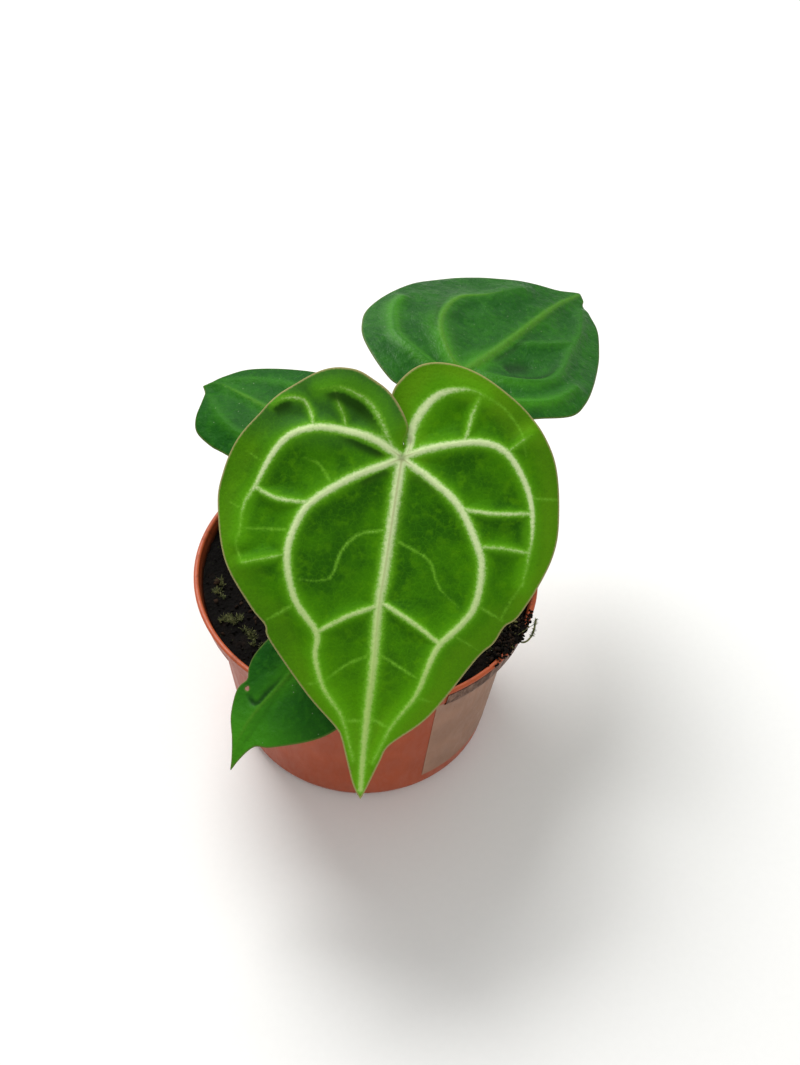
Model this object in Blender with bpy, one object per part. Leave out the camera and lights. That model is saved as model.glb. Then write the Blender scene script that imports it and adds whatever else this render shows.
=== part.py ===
"""A young Anthurium clarinervium in its low nursery pot, as a Blender model.

Metres, +Z up. The origin is the centre of the pot's underside. The big leaf's tip
points to -Y and the pot's label is on the +X side. Sizes are written in millimetres
and multiplied by MM where a mesh is made.

A blade is drawn flat first, as (across, along) points with the stalk at (0, 0) and
the tip towards +along. It is cut into triangles along its outline and its veins,
and each point is then lifted and bent into place, alike on both faces.
"""
import math
import random

import bpy
import bmesh
from mathutils import Vector, geometry, noise

MM = 0.001
SEED = 11

# Pot
POT_HEIGHT = 74.0
RIM_RADIUS = 60.0
LIP_WIDTH = 1.8
COLLAR_HEIGHT = 8.5
COLLAR_FOOT_RADIUS = 58.2
WALL_TOP_RADIUS = 54.0
BASE_RADIUS = 47.5
BASE_EDGE = 5.0
BASE_EDGE_STEPS = 4
WALL = 1.4
FLOOR = 1.8
POT_STEPS = 56
DRAIN_HOLES = 8
DRAIN_RING = 30.0
DRAIN_RADIUS = 4.0
LIP_ROUND = 0.4
FLOOR_ROUND = 4.0

# Sticker on the pot
LABEL_START = math.radians(-62)
LABEL_END = math.radians(12)
LABEL_STEPS = 16
LABEL_FOOT = 9.0
LABEL_THICKNESS = 0.3
LABEL_GAP = 0.1

# Soil
GAP = 0.3
SOIL_TOP = 69.0
SOIL_RINGS = 11
SOIL_STEPS = 48
SOIL_LUMP = 1.3
HEAP_HEIGHT = 5.0
HEAP_PLACE = (43.0, -25.0)
HEAP_SIZE = 12.0
HOLE_DEPTH = 14.0
HOLE_CLEARANCE = 0.4
HOLE_SIDES = 12

# Short stem that the leaf stalks grow round
CROWN_RADIUS = 5.0
CROWN_TOP = 78.0
CROWN_SIDES = 14
CROWN_RIDGES = 5

# Blades
BLADE = 0.9
BLADE_EDGE = 0.7
OUTLINE_STEP = 3.2
VEIN_STEP = 5.0
RIB_SIDE = 1.5
QUILT_REACH = 4.5
FILL_STEP = 5.2
LOBE_FROM = math.radians(115)
SINUS_START = 1.5
SINUS_FULL = 9.0
RIB_LIFT = 0.25

# Stalks
STALK_SIDES = 8
STALK_STEP = 5.0
STALK_GAP = 0.35
STALK_MOUTH = 2.0
STALK_COLLAR = 9.0
TAPER = 1.4
FOOT_SWELL = 0.15
FOOT_LENGTH = 26.0
JOINT_LENGTH = 7.0
JOINT_SWELL = 0.35
JOINT_RISE = 3.0
JOINT_DROP = 1.1

# Colours are sRGB values seen in daylight; roughness goes with each
COLOURS = {
    "pot": ((0.60, 0.29, 0.15), 0.42),
    "pot_label": ((0.51, 0.40, 0.36), 0.55),
    "soil": ((0.09, 0.07, 0.055), 0.95),
    "crown": ((0.36, 0.30, 0.16), 0.70),
    "petiole": ((0.42, 0.50, 0.22), 0.50),
    "leaf_main": ((0.24, 0.44, 0.07), 0.48),
    "leaf_back_right": ((0.20, 0.38, 0.17), 0.38),
    "leaf_back_left": ((0.15, 0.38, 0.09), 0.42),
    "leaf_small": ((0.16, 0.38, 0.10), 0.45),
}

# Each vein is a list of flat points with the height of its rib where it starts and ends.
LEAVES = {
    "leaf_main": {
        "attach": (9.4, -18.0, 144.0),
        "heading": -96.5,
        "droop": 39.8,
        "roll": -4.2,
        "arch": 3.2,
        "side_drop": 2.5,
        "tip_drop": 3.5,
        "back_drop": -2.0,
        "wave": 0.9,
        "waves": 7,
        "quilt": 1.6,
        "dents": [(-17.5, -11.5, 5.0, 3.0), (-31.5, -11.5, 5.0, 2.2), (14.0, -13.5, 5.0, 0.8)],
        "lobe_swing": 24.0,
        "lobe_lift": 2.4,
        "right": [
            (0.6, -3.2), (1.0, -6.0), (0.8, -10.0), (1.0, -14.0), (2.2, -18.5), (5.0, -22.5),
            (11.0, -26.5), (18.0, -26.5), (26.5, -23.5), (37.0, -17.0), (46.0, -5.0), (49.5, 11.5),
            (48.5, 25.0), (41.0, 42.0), (36.6, 46.6), (34.0, 51.8), (29.6, 56.8), (20.5, 71.0),
            (15.0, 78.0), (6.5, 85.5), (4.3, 90.5), (1.9, 97.5),
        ],
        "left": [
            (-0.8, -4.2), (-3.0, -9.5), (-9.0, -16.0), (-14.5, -19.5), (-20.5, -22.0), (-28.0, -21.5),
            (-37.5, -15.5), (-44.5, -7.5), (-50.0, 0.5), (-53.0, 10.0), (-53.5, 20.0), (-49.0, 36.5),
            (-39.5, 49.5), (-34.5, 54.5), (-32.5, 59.0), (-20.0, 73.0), (-10.0, 82.0), (-7.8, 85.0),
            (-5.5, 91.0), (-2.6, 98.5),
        ],
        "tip": (0.0, 102.5),
        "veins": [
            (1.1, 0.3, [(0.0, 0.5), (-0.5, 14.5), (-1.0, 33.5), (-1.5, 50.0), (-1.0, 78.0), (-0.5, 98.0)]),
            (0.8, 0.2, [(-0.5, 0.5), (-13.5, 7.5), (-25.0, 16.5), (-30.5, 30.0), (-26.5, 46.0),
                        (-19.0, 55.0), (-18.5, 62.0), (-8.5, 79.0), (-3.5, 91.5)]),
            (0.8, 0.2, [(0.5, 0.5), (8.5, 5.0), (18.0, 12.0), (27.5, 30.0), (27.0, 41.0),
                        (18.0, 54.0), (12.5, 70.0), (6.5, 80.0), (2.2, 91.5)]),
            (0.7, 0.2, [(-0.8, -0.5), (-9.5, -4.5), (-18.5, -6.0), (-27.5, -5.5), (-34.5, -2.0),
                        (-42.5, 13.5), (-45.5, 29.5)]),
            (0.7, 0.2, [(0.8, -0.5), (7.5, -3.5), (18.0, -6.5), (25.5, -7.0), (31.5, -4.5),
                        (40.0, 8.5), (41.5, 17.5), (40.5, 34.0)]),
            (0.5, 0.2, [(-0.8, -1.5), (-6.5, -8.0), (-11.5, -13.0), (-16.0, -16.0), (-26.5, -17.0)]),
            (0.5, 0.2, [(1.3, -1.5), (5.0, -9.5), (9.5, -15.5), (14.0, -19.0), (23.5, -19.5)]),
            (0.4, 0.3, [(-3.0, 45.5), (-11.0, 49.5), (-18.0, 54.5)]),
            (0.4, 0.3, [(0.5, 44.5), (10.0, 49.5), (17.0, 53.0)]),
        ],
    },
    "leaf_back_right": {
        "attach": (32.4, 38.1, 132.0),
        "heading": 55.3,
        "droop": 10.8,
        "roll": 10.3,
        "arch": 2.4,
        "side_drop": 3.0,
        "tip_drop": 3.0,
        "back_drop": 1.5,
        "wave": 0.8,
        "waves": 6,
        "quilt": 1.3,
        "dents": [(-12.0, 24.0, 8.0, 1.5), (14.0, 22.0, 8.0, 0.8)],
        "lobe_swing": 0.0,
        "lobe_lift": 0.0,
        "right": [
            (0.5, -3.5), (2.5, -12.0), (5.5, -20.0), (12.0, -25.5), (19.0, -24.8), (27.5, -21.0),
            (34.5, -15.5), (40.0, -8.0), (44.5, 1.0), (46.0, 11.0), (45.2, 25.0), (43.5, 36.0),
            (38.7, 49.0), (32.5, 57.0), (26.0, 62.5), (16.5, 70.7), (9.0, 77.0), (5.5, 81.0),
        ],
        "left": [
            (-1.0, -4.0), (-3.0, -12.0), (-7.0, -19.0), (-13.0, -21.0), (-19.5, -17.0), (-25.0, -8.0),
            (-29.0, 1.0), (-35.0, 14.0), (-35.0, 23.5), (-32.0, 35.0), (-26.5, 50.0), (-21.8, 59.5),
            (-15.0, 70.3), (-8.0, 76.5), (-3.0, 80.0), (-1.2, 83.5),
        ],
        "tip": (1.9, 86.0),
        "veins": [
            (1.0, 0.3, [(0.0, 0.5), (0.5, 18.0), (1.0, 32.0), (1.5, 48.5), (1.8, 66.0), (1.8, 82.0)]),
            (0.7, 0.2, [(0.8, 0.0), (7.0, 0.0), (15.5, 5.5), (22.0, 13.0), (26.0, 22.5), (27.0, 33.5),
                        (21.5, 47.0), (14.5, 62.5), (5.0, 73.0)]),
            (0.7, 0.2, [(-0.8, 0.5), (-8.0, 5.0), (-14.5, 12.0), (-20.0, 21.5), (-20.5, 32.0),
                        (-16.0, 46.0), (-12.5, 58.0), (-5.0, 72.0)]),
            (0.6, 0.2, [(0.8, -1.5), (7.0, -8.5), (16.0, -10.5), (26.0, -7.5), (32.0, -1.5),
                        (36.0, 8.0), (36.0, 22.0)]),
            (0.6, 0.2, [(-0.8, -1.5), (-8.0, -6.5), (-16.0, -5.0), (-23.0, 3.0), (-28.0, 14.0),
                        (-29.0, 27.0)]),
        ],
    },
    "leaf_back_left": {
        "attach": (-22.4, 22.5, 116.0),
        "heading": 141.2,
        "droop": 7.8,
        "roll": -13.6,
        "arch": 1.6,
        "side_drop": 2.0,
        "tip_drop": 2.0,
        "back_drop": 1.0,
        "wave": 0.7,
        "waves": 5,
        "quilt": 0.8,
        "dents": [],
        "lobe_swing": 0.0,
        "lobe_lift": 0.0,
        "right": [
            (0.5, -2.5), (2.5, -8.5), (8.0, -13.0), (15.0, -10.0), (19.5, -1.5), (20.5, 10.0),
            (19.5, 22.0), (19.3, 28.5), (17.5, 36.5), (13.5, 40.5), (7.0, 43.5), (2.8, 46.0),
        ],
        "left": [
            (-0.8, -3.0), (-4.0, -10.5), (-11.0, -14.0), (-18.5, -9.5), (-23.5, 0.0), (-25.0, 11.5),
            (-23.5, 22.5), (-20.0, 32.0), (-13.8, 40.6), (-6.5, 45.5), (-2.2, 47.8),
        ],
        "tip": (0.0, 50.0),
        "veins": [
            (0.8, 0.3, [(0.0, 0.5), (-1.0, 16.0), (-2.0, 31.5), (-2.0, 47.0)]),
            (0.5, 0.2, [(0.6, 0.5), (8.0, 5.0), (11.5, 16.0), (10.0, 30.0), (3.0, 43.0)]),
            (0.5, 0.2, [(-0.6, 0.5), (-10.0, 5.0), (-14.5, 16.0), (-12.5, 30.0), (-5.0, 43.0)]),
        ],
    },
    "leaf_small": {
        "attach": (-18.3, -50.4, 88.0),
        "heading": -127.8,
        "droop": 30.9,
        "roll": -4.5,
        "arch": 1.8,
        "side_drop": 1.5,
        "tip_drop": 2.0,
        "back_drop": 1.0,
        "wave": 0.7,
        "waves": 5,
        "quilt": 0.8,
        "dents": [],
        "lobe_swing": 0.0,
        "lobe_lift": 0.0,
        "right": [
            (0.5, -2.5), (3.0, -8.0), (9.0, -11.0), (16.0, -8.0), (21.0, -0.5), (22.5, 8.0),
            (20.5, 15.0), (15.6, 21.9), (7.6, 29.4), (3.2, 31.8), (1.6, 34.5), (0.7, 38.0),
        ],
        "left": [
            (-0.8, -3.0), (-4.0, -8.5), (-9.0, -7.0), (-12.5, 0.0), (-14.0, 8.0), (-13.4, 13.0),
            (-11.7, 16.4), (-12.8, 19.8), (-12.3, 23.5), (-9.5, 29.0), (-5.0, 34.0), (-1.6, 39.0),
        ],
        "tip": (0.0, 42.5),
        "veins": [
            (0.7, 0.3, [(0.0, 0.5), (-1.0, 10.0), (-3.0, 22.0), (-2.5, 32.0), (-0.5, 40.0)]),
            (0.5, 0.2, [(0.6, 0.5), (8.0, 3.5), (12.0, 11.0), (8.0, 22.0), (1.5, 29.5)]),
            (0.4, 0.2, [(-0.6, 0.5), (-7.0, 4.0), (-8.5, 12.0), (-8.0, 22.0), (-4.5, 31.0)]),
        ],
    },
}

# Where each stalk stands in the soil, its radii at the foot and the top, and the bow of its middle
STALKS = {
    "petiole_main": {
        "leaf": "leaf_main", "root": (1.5, -9.5), "thick": (2.5, 1.7), "bow": (-1.5, 6.0, 0.0),
    },
    "petiole_back_right": {
        "leaf": "leaf_back_right", "root": (8.5, 5.5), "thick": (2.4, 1.6), "bow": (-4.0, -5.0, 6.0),
    },
    "petiole_back_left": {
        "leaf": "leaf_back_left", "root": (-7.5, 6.5), "thick": (2.0, 1.3), "bow": (2.0, -3.0, 4.0),
    },
    "petiole_small": {
        "leaf": "leaf_small", "root": (-9.0, -5.0), "thick": (1.8, 1.2), "bow": (1.0, 3.0, 2.5),
    },
}


def smooth(t):
    """Ease from 0 to 1 as t goes from 0 to 1."""
    t = min(max(t, 0.0), 1.0)
    return t * t * (3.0 - 2.0 * t)


def clear_scene():
    for thing in list(bpy.data.objects):
        bpy.data.objects.remove(thing, do_unlink=True)


def linear(value):
    """One sRGB channel as the linear value a shader takes."""
    if value <= 0.04045:
        return value / 12.92
    return ((value + 0.055) / 1.055) ** 2.4


def material(name):
    colour, roughness = COLOURS[name]
    made = bpy.data.materials.new(name)
    made.use_nodes = True
    shader = made.node_tree.nodes["Principled BSDF"]
    shader.inputs["Base Color"].default_value = [linear(c) for c in colour] + [1.0]
    shader.inputs["Roughness"].default_value = roughness
    shader.inputs["Metallic"].default_value = 0.0
    made.diffuse_color = [linear(c) for c in colour] + [1.0]
    return made


def add_object(name, points, faces, finish, sharp=40.0):
    """Make a mesh object from points in millimetres, shaded smooth but for sharp edges."""
    mesh = bpy.data.meshes.new(name)
    mesh.from_pydata([tuple(c * MM for c in p) for p in points], [], faces)
    mesh.validate()
    mesh.materials.append(finish)
    mesh.shade_smooth()
    mesh.set_sharp_from_angle(angle=math.radians(sharp))
    thing = bpy.data.objects.new(name, mesh)
    bpy.context.scene.collection.objects.link(thing)
    return thing


def face_out(thing):
    """Turn all faces of a closed mesh outwards."""
    shell = bmesh.new()
    shell.from_mesh(thing.data)
    bmesh.ops.recalc_face_normals(shell, faces=shell.faces)
    shell.to_mesh(thing.data)
    shell.free()


def turned(name, profile, steps, finish):
    """Spin a closed profile of (radius, height) points about Z; a radius of 0 is a pole."""
    points = []
    rows = []
    for radius, height in profile:
        if radius == 0.0:
            rows.append([len(points)] * steps)
            points.append((0.0, 0.0, height))
            continue
        rows.append(list(range(len(points), len(points) + steps)))
        for step in range(steps):
            turn = 2.0 * math.pi * step / steps
            points.append((radius * math.cos(turn), radius * math.sin(turn), height))
    faces = []
    for row, following in zip(rows, rows[1:] + rows[:1]):
        for step in range(steps):
            after = (step + 1) % steps
            corners = (row[step], row[after], following[after], following[step])
            face = list(dict.fromkeys(corners))
            if len(face) > 2:
                faces.append(face)
    thing = add_object(name, points, faces, finish)
    face_out(thing)
    return thing


def cylinder_cutter(name, place, radius, bottom, top, sides):
    """A hidden upright cylinder that cuts a hole."""
    mesh = bpy.data.meshes.new(name)
    shell = bmesh.new()
    bmesh.ops.create_cone(shell, cap_ends=True, segments=sides, radius1=radius * MM,
                          radius2=radius * MM, depth=(top - bottom) * MM)
    shell.to_mesh(mesh)
    shell.free()
    cutter = bpy.data.objects.new(name, mesh)
    cutter.location = (place[0] * MM, place[1] * MM, (top + bottom) / 2.0 * MM)
    cutter.hide_render = True
    cutter.display_type = "WIRE"
    bpy.context.scene.collection.objects.link(cutter)
    return cutter


def cut(thing, cutters):
    """Cut holes with the exact solver, one modifier for each cutter."""
    for cutter in cutters:
        hole = thing.modifiers.new(cutter.name, "BOOLEAN")
        hole.operation = "DIFFERENCE"
        hole.solver = "EXACT"
        hole.object = cutter


def wall_radius(height):
    """The outer radius of the pot's plain wall."""
    foot = BASE_EDGE
    top = POT_HEIGHT - COLLAR_HEIGHT
    share = (height - foot) / (top - foot)
    return BASE_RADIUS + (WALL_TOP_RADIUS - BASE_RADIUS) * share


def pot_profile():
    """The pot's closed section, from the middle of the underside round to the middle of the floor."""
    collar_foot = POT_HEIGHT - COLLAR_HEIGHT
    section = [(0.0, 0.0)]
    for step in range(BASE_EDGE_STEPS + 1):
        turn = math.pi / 2.0 * step / BASE_EDGE_STEPS
        radius = BASE_RADIUS - BASE_EDGE + BASE_EDGE * math.sin(turn)
        section.append((radius, BASE_EDGE - BASE_EDGE * math.cos(turn)))
    section += [
        (wall_radius(POT_HEIGHT * 0.5), POT_HEIGHT * 0.5),
        (WALL_TOP_RADIUS, collar_foot - LIP_ROUND),
        (COLLAR_FOOT_RADIUS - 0.6, collar_foot),
        (COLLAR_FOOT_RADIUS, collar_foot + 0.7),
        (RIM_RADIUS - 0.6, POT_HEIGHT - 1.4),
        (RIM_RADIUS, POT_HEIGHT - 1.0),
        (RIM_RADIUS, POT_HEIGHT - LIP_ROUND),
        (RIM_RADIUS - LIP_ROUND, POT_HEIGHT),
        (RIM_RADIUS - LIP_WIDTH + LIP_ROUND, POT_HEIGHT),
        (RIM_RADIUS - LIP_WIDTH, POT_HEIGHT - LIP_ROUND),
        (COLLAR_FOOT_RADIUS - WALL - 0.2, collar_foot + 1.6),
        (WALL_TOP_RADIUS - WALL, collar_foot - 1.4),
        (wall_radius(FLOOR + FLOOR_ROUND) - WALL, FLOOR + FLOOR_ROUND),
        (wall_radius(FLOOR + FLOOR_ROUND) - WALL - FLOOR_ROUND, FLOOR),
        (0.0, FLOOR),
    ]
    return section


def make_pot():
    """The moulded pot, with a ring of drain holes round its plain middle."""
    pot = turned("pot", pot_profile(), POT_STEPS, material("pot"))
    holes = []
    for number in range(DRAIN_HOLES):
        turn = 2.0 * math.pi * (number + 0.5) / DRAIN_HOLES
        place = (DRAIN_RING * math.cos(turn), DRAIN_RING * math.sin(turn))
        holes.append(cylinder_cutter(f"drain_cutter_{number}", place, DRAIN_RADIUS, -FLOOR, FLOOR * 3.0,
                                     HOLE_SIDES))
    cut(pot, holes)
    return pot


def make_label():
    """A thin sticker round the wall and up over the collar."""
    collar_foot = POT_HEIGHT - COLLAR_HEIGHT
    gap = LABEL_GAP
    line = [
        (wall_radius(LABEL_FOOT) + gap, LABEL_FOOT),
        (wall_radius(LABEL_FOOT + 16.0) + gap, LABEL_FOOT + 16.0),
        (wall_radius(LABEL_FOOT + 34.0) + gap, LABEL_FOOT + 34.0),
        (wall_radius(collar_foot - 6.0) + gap, collar_foot - 6.0),
        (WALL_TOP_RADIUS + 2.4, collar_foot - 1.8),
        (COLLAR_FOOT_RADIUS + 0.2, collar_foot - 0.3),
        (COLLAR_FOOT_RADIUS + gap + 0.35, collar_foot + 1.4),
        (RIM_RADIUS - 0.6 + gap + 0.05, POT_HEIGHT - 2.0),
    ]
    points = []
    for shift in (0.0, LABEL_THICKNESS):
        for radius, height in line:
            for step in range(LABEL_STEPS + 1):
                turn = LABEL_START + (LABEL_END - LABEL_START) * step / LABEL_STEPS
                reach = (radius + shift) / math.cos(math.pi / POT_STEPS)
                points.append((reach * math.cos(turn), reach * math.sin(turn), height))
    across = LABEL_STEPS + 1
    sheet = across * len(line)
    faces = []
    for row in range(len(line) - 1):
        for step in range(LABEL_STEPS):
            low = row * across + step
            quad = (low, low + 1, low + across + 1, low + across)
            faces.append(tuple(sheet + c for c in quad))
            faces.append(tuple(reversed(quad)))
    edge = [step for step in range(across)]
    edge += [row * across + LABEL_STEPS for row in range(1, len(line))]
    edge += [(len(line) - 1) * across + step for step in range(LABEL_STEPS - 1, -1, -1)]
    edge += [row * across for row in range(len(line) - 2, 0, -1)]
    for here, after in zip(edge, edge[1:] + edge[:1]):
        faces.append((here, after, sheet + after, sheet + here))
    label = add_object("pot_label", points, faces, material("pot_label"))
    face_out(label)
    return label


def soil_height(x, y):
    """The crumbly top of the soil, with a heap against the rim."""
    lump = noise.noise(Vector((x, y, SEED)) * 0.11) * SOIL_LUMP
    lump += noise.noise(Vector((y, x, SEED)) * 0.31) * SOIL_LUMP * 0.5
    away = math.hypot(x - HEAP_PLACE[0], y - HEAP_PLACE[1]) / HEAP_SIZE
    return SOIL_TOP + lump + HEAP_HEIGHT * math.exp(-away * away)


def make_soil():
    """The soil, a little clear of the pot, with a plain hole for each stem."""
    collar_foot = POT_HEIGHT - COLLAR_HEIGHT
    shrink = math.cos(math.pi / SOIL_STEPS)
    floor = FLOOR + GAP
    foot = FLOOR + FLOOR_ROUND
    neck_radius = WALL_TOP_RADIUS - WALL - GAP - 0.5
    top_radius = COLLAR_FOOT_RADIUS - WALL - GAP - 0.8
    side = [
        (wall_radius(foot) - WALL - FLOOR_ROUND - 0.4, floor),
        (wall_radius(foot) - WALL - GAP - 0.6, foot + 0.4),
        (wall_radius(foot + 30.0) - WALL - GAP - 0.4, foot + 30.0),
        (neck_radius, collar_foot - 1.8),
        (top_radius, collar_foot + 2.4),
    ]
    points = [(0.0, 0.0, floor)]
    rows = []
    for radius, height in side:
        rows.append(len(points))
        for step in range(SOIL_STEPS):
            turn = 2.0 * math.pi * step / SOIL_STEPS
            points.append((radius * shrink * math.cos(turn), radius * shrink * math.sin(turn), height))
    for ring in range(SOIL_RINGS, 0, -1):
        rows.append(len(points))
        radius = top_radius * shrink * ring / SOIL_RINGS
        if ring == SOIL_RINGS:
            radius = top_radius * shrink + 0.6
        for step in range(SOIL_STEPS):
            turn = 2.0 * math.pi * (step + 0.5 * (ring % 2)) / SOIL_STEPS
            x = radius * math.cos(turn)
            y = radius * math.sin(turn)
            points.append((x, y, soil_height(x, y)))
    middle = len(points)
    points.append((0.0, 0.0, soil_height(0.0, 0.0)))
    faces = []
    for row, following in zip(rows, rows[1:]):
        for step in range(SOIL_STEPS):
            after = (step + 1) % SOIL_STEPS
            faces.append((row + step, row + after, following + step))
            faces.append((row + after, following + after, following + step))
    for step in range(SOIL_STEPS):
        after = (step + 1) % SOIL_STEPS
        faces.append((0, rows[0] + after, rows[0] + step))
        faces.append((middle, rows[-1] + step, rows[-1] + after))
    soil = add_object("soil", points, faces, material("soil"), sharp=70.0)
    face_out(soil)
    bottom = SOIL_TOP - HOLE_DEPTH
    top = POT_HEIGHT + 10.0
    middle_hole = CROWN_RADIUS + HOLE_CLEARANCE
    holes = [cylinder_cutter("crown_cutter", (0.0, 0.0), middle_hole, bottom, top, CROWN_SIDES)]
    for name, stalk in STALKS.items():
        radius = stalk["thick"][0] * (1.0 + FOOT_SWELL) + HOLE_CLEARANCE
        holes.append(cylinder_cutter(name + "_cutter", stalk["root"], radius, bottom, top, HOLE_SIDES))
    cut(soil, holes)
    return soil


def make_crown():
    """The short stem, ridged by old leaf scars and closed by a blunt bud."""
    bottom = SOIL_TOP - HOLE_DEPTH + GAP
    section = [(0.0, bottom), (CROWN_RADIUS * 0.8, bottom)]
    span = CROWN_TOP - 3.0 - bottom
    for ridge in range(CROWN_RIDGES):
        base = bottom + 1.0 + span * ridge / CROWN_RIDGES
        rise = span / CROWN_RIDGES
        girth = CROWN_RADIUS * (1.0 - 0.07 * ridge)
        section.append((girth, base + rise * 0.25))
        section.append((girth * 0.86, base + rise * 0.85))
    section += [(CROWN_RADIUS * 0.42, CROWN_TOP - 1.2), (0.0, CROWN_TOP)]
    return turned("crown", section, CROWN_SIDES, material("crown"))


def curve_through(points, step):
    """Points about one step apart on a smooth curve through the given ones."""
    line = []
    for index in range(len(points) - 1):
        p1 = Vector(points[index])
        p2 = Vector(points[index + 1])
        p0 = Vector(points[index - 1]) if index > 0 else p1 * 2.0 - p2
        p3 = Vector(points[index + 2]) if index + 2 < len(points) else p2 * 2.0 - p1
        pieces = max(1, round((p2 - p1).length / step))
        for piece in range(pieces):
            t = piece / pieces
            line.append(0.5 * (2.0 * p1 + (p2 - p0) * t + (2.0 * p0 - 5.0 * p1 + 4.0 * p2 - p3) * t * t
                               + (3.0 * p1 - 3.0 * p2 + p3 - p0) * t * t * t))
    line.append(Vector(points[-1]))
    return line


def blade_outline(leaf):
    """The cut edge of a blade, from the right side of the sinus to the tip and back."""
    right = curve_through(leaf["right"] + [leaf["tip"]], OUTLINE_STEP)
    left = curve_through(leaf["left"] + [leaf["tip"]], OUTLINE_STEP)
    return right + left[-2::-1]


def inside(point, outline):
    """Whether a flat point lies within the closed outline."""
    x, y = point
    found = False
    for here, after in zip(outline, outline[1:] + outline[:1]):
        if (here[1] > y) != (after[1] > y):
            reach = here[0] + (y - here[1]) / (after[1] - here[1]) * (after[0] - here[0])
            if x < reach:
                found = not found
    return found


def nearest(point, line):
    """Distance from a flat point to a polyline, and how far along it, from 0 to 1."""
    best = (1e9, 0.0)
    spans = len(line) - 1
    for index in range(spans):
        start = line[index]
        along = line[index + 1] - start
        t = min(max((point - start).dot(along) / max(along.length_squared, 1e-9), 0.0), 1.0)
        gap = (point - start - along * t).length
        if gap < best[0]:
            best = (gap, (index + t) / spans)
    return best


def blade_plan(leaf):
    """Flat points and triangles of a blade, its outline as a list of points, and its vein lines."""
    outline = blade_outline(leaf)
    edge = outline + outline[:1]
    veins = [(start, end, curve_through(line, VEIN_STEP)) for start, end, line in leaf["veins"]]
    points = [Vector(p) for p in outline]
    crease = []
    for start, end, line in veins:
        for index, here in enumerate(line):
            along = (line[min(index + 1, len(line) - 1)] - line[max(index - 1, 0)]).normalized()
            side = Vector((-along.y, along.x)) * RIB_SIDE
            for shift in (Vector((0.0, 0.0)), side, -side):
                spot = here + shift
                room = 0.9 if shift.length == 0.0 else 1.2
                if not inside(spot, outline) or nearest(spot, edge)[0] < room:
                    continue
                if all((spot - other).length > room for other in crease):
                    crease.append(spot)
    points += crease
    low = Vector((min(p.x for p in outline), min(p.y for p in outline)))
    high = Vector((max(p.x for p in outline), max(p.y for p in outline)))
    random.seed(SEED)
    row = 0
    y = low.y
    while y < high.y:
        x = low.x + (FILL_STEP / 2.0 if row % 2 else 0.0)
        while x < high.x:
            spot = Vector((x + random.uniform(-0.4, 0.4), y + random.uniform(-0.4, 0.4)))
            clear = inside(spot, outline) and nearest(spot, edge)[0] > FILL_STEP * 0.5
            if clear and all((spot - other).length > FILL_STEP * 0.62 for other in crease):
                points.append(spot)
            x += FILL_STEP
        y += FILL_STEP * math.sqrt(3.0) / 2.0
        row += 1
    loop = list(range(len(outline)))
    made = geometry.delaunay_2d_cdt(points, [], [loop], 1, 1e-5)
    flat, faces, origins = made[0], made[2], made[3]
    border = [index for index, source in enumerate(origins) if any(s < len(outline) for s in source)]
    border.sort(key=lambda index: min(origins[index]))
    return flat, faces, border, veins, edge


def place_blade(leaf, flat, rib_gap, rib_height):
    """Where a flat point goes: lobes swung together, blade arched and bent, then turned into place."""
    u, v = flat
    reach = math.hypot(u, v)
    angle = math.atan2(u, v)
    swing = smooth((abs(angle) - LOBE_FROM) / (math.pi - LOBE_FROM))
    swing *= smooth((reach - SINUS_START) / (SINUS_FULL - SINUS_START))
    angle += math.copysign(math.radians(leaf["lobe_swing"]) * swing, angle)
    lift = -math.copysign(leaf["lobe_lift"] * swing, u)
    width = max(abs(p[0]) for p in leaf["right"] + leaf["left"])
    length = leaf["tip"][1]
    across = min(abs(u) / width, 1.0)
    lift += leaf["arch"] * math.sin(math.pi * across) - leaf["side_drop"] * across ** 3
    lift -= leaf["tip_drop"] * max(v / length, 0.0) ** 2
    lift -= leaf["back_drop"] * max(-v / (length * 0.25), 0.0) ** 2
    lift += leaf["wave"] * math.sin(leaf["waves"] * angle + 1.0) * min(reach / width, 1.2) ** 3
    lift -= leaf["quilt"] * (1.0 - math.exp(-(rib_gap / QUILT_REACH) ** 2)) - RIB_LIFT * rib_height
    for dent_u, dent_v, size, depth in leaf["dents"]:
        lift -= depth * math.exp(-((u - dent_u) ** 2 + (v - dent_v) ** 2) / size ** 2)
    heading = math.radians(leaf["heading"])
    droop = math.radians(leaf["droop"])
    roll = math.radians(leaf["roll"])
    ahead = Vector((math.cos(heading), math.sin(heading), 0.0))
    tip_way = ahead * math.cos(droop) - Vector((0.0, 0.0, math.sin(droop)))
    level = Vector((-math.sin(heading), math.cos(heading), 0.0))
    upright = tip_way.cross(level)
    right_way = level * math.cos(roll) + upright * math.sin(roll)
    face_way = tip_way.cross(right_way)
    flat_way = right_way * math.sin(angle) + tip_way * math.cos(angle)
    return Vector(leaf["attach"]) + flat_way * reach + face_way * lift, face_way


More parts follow.
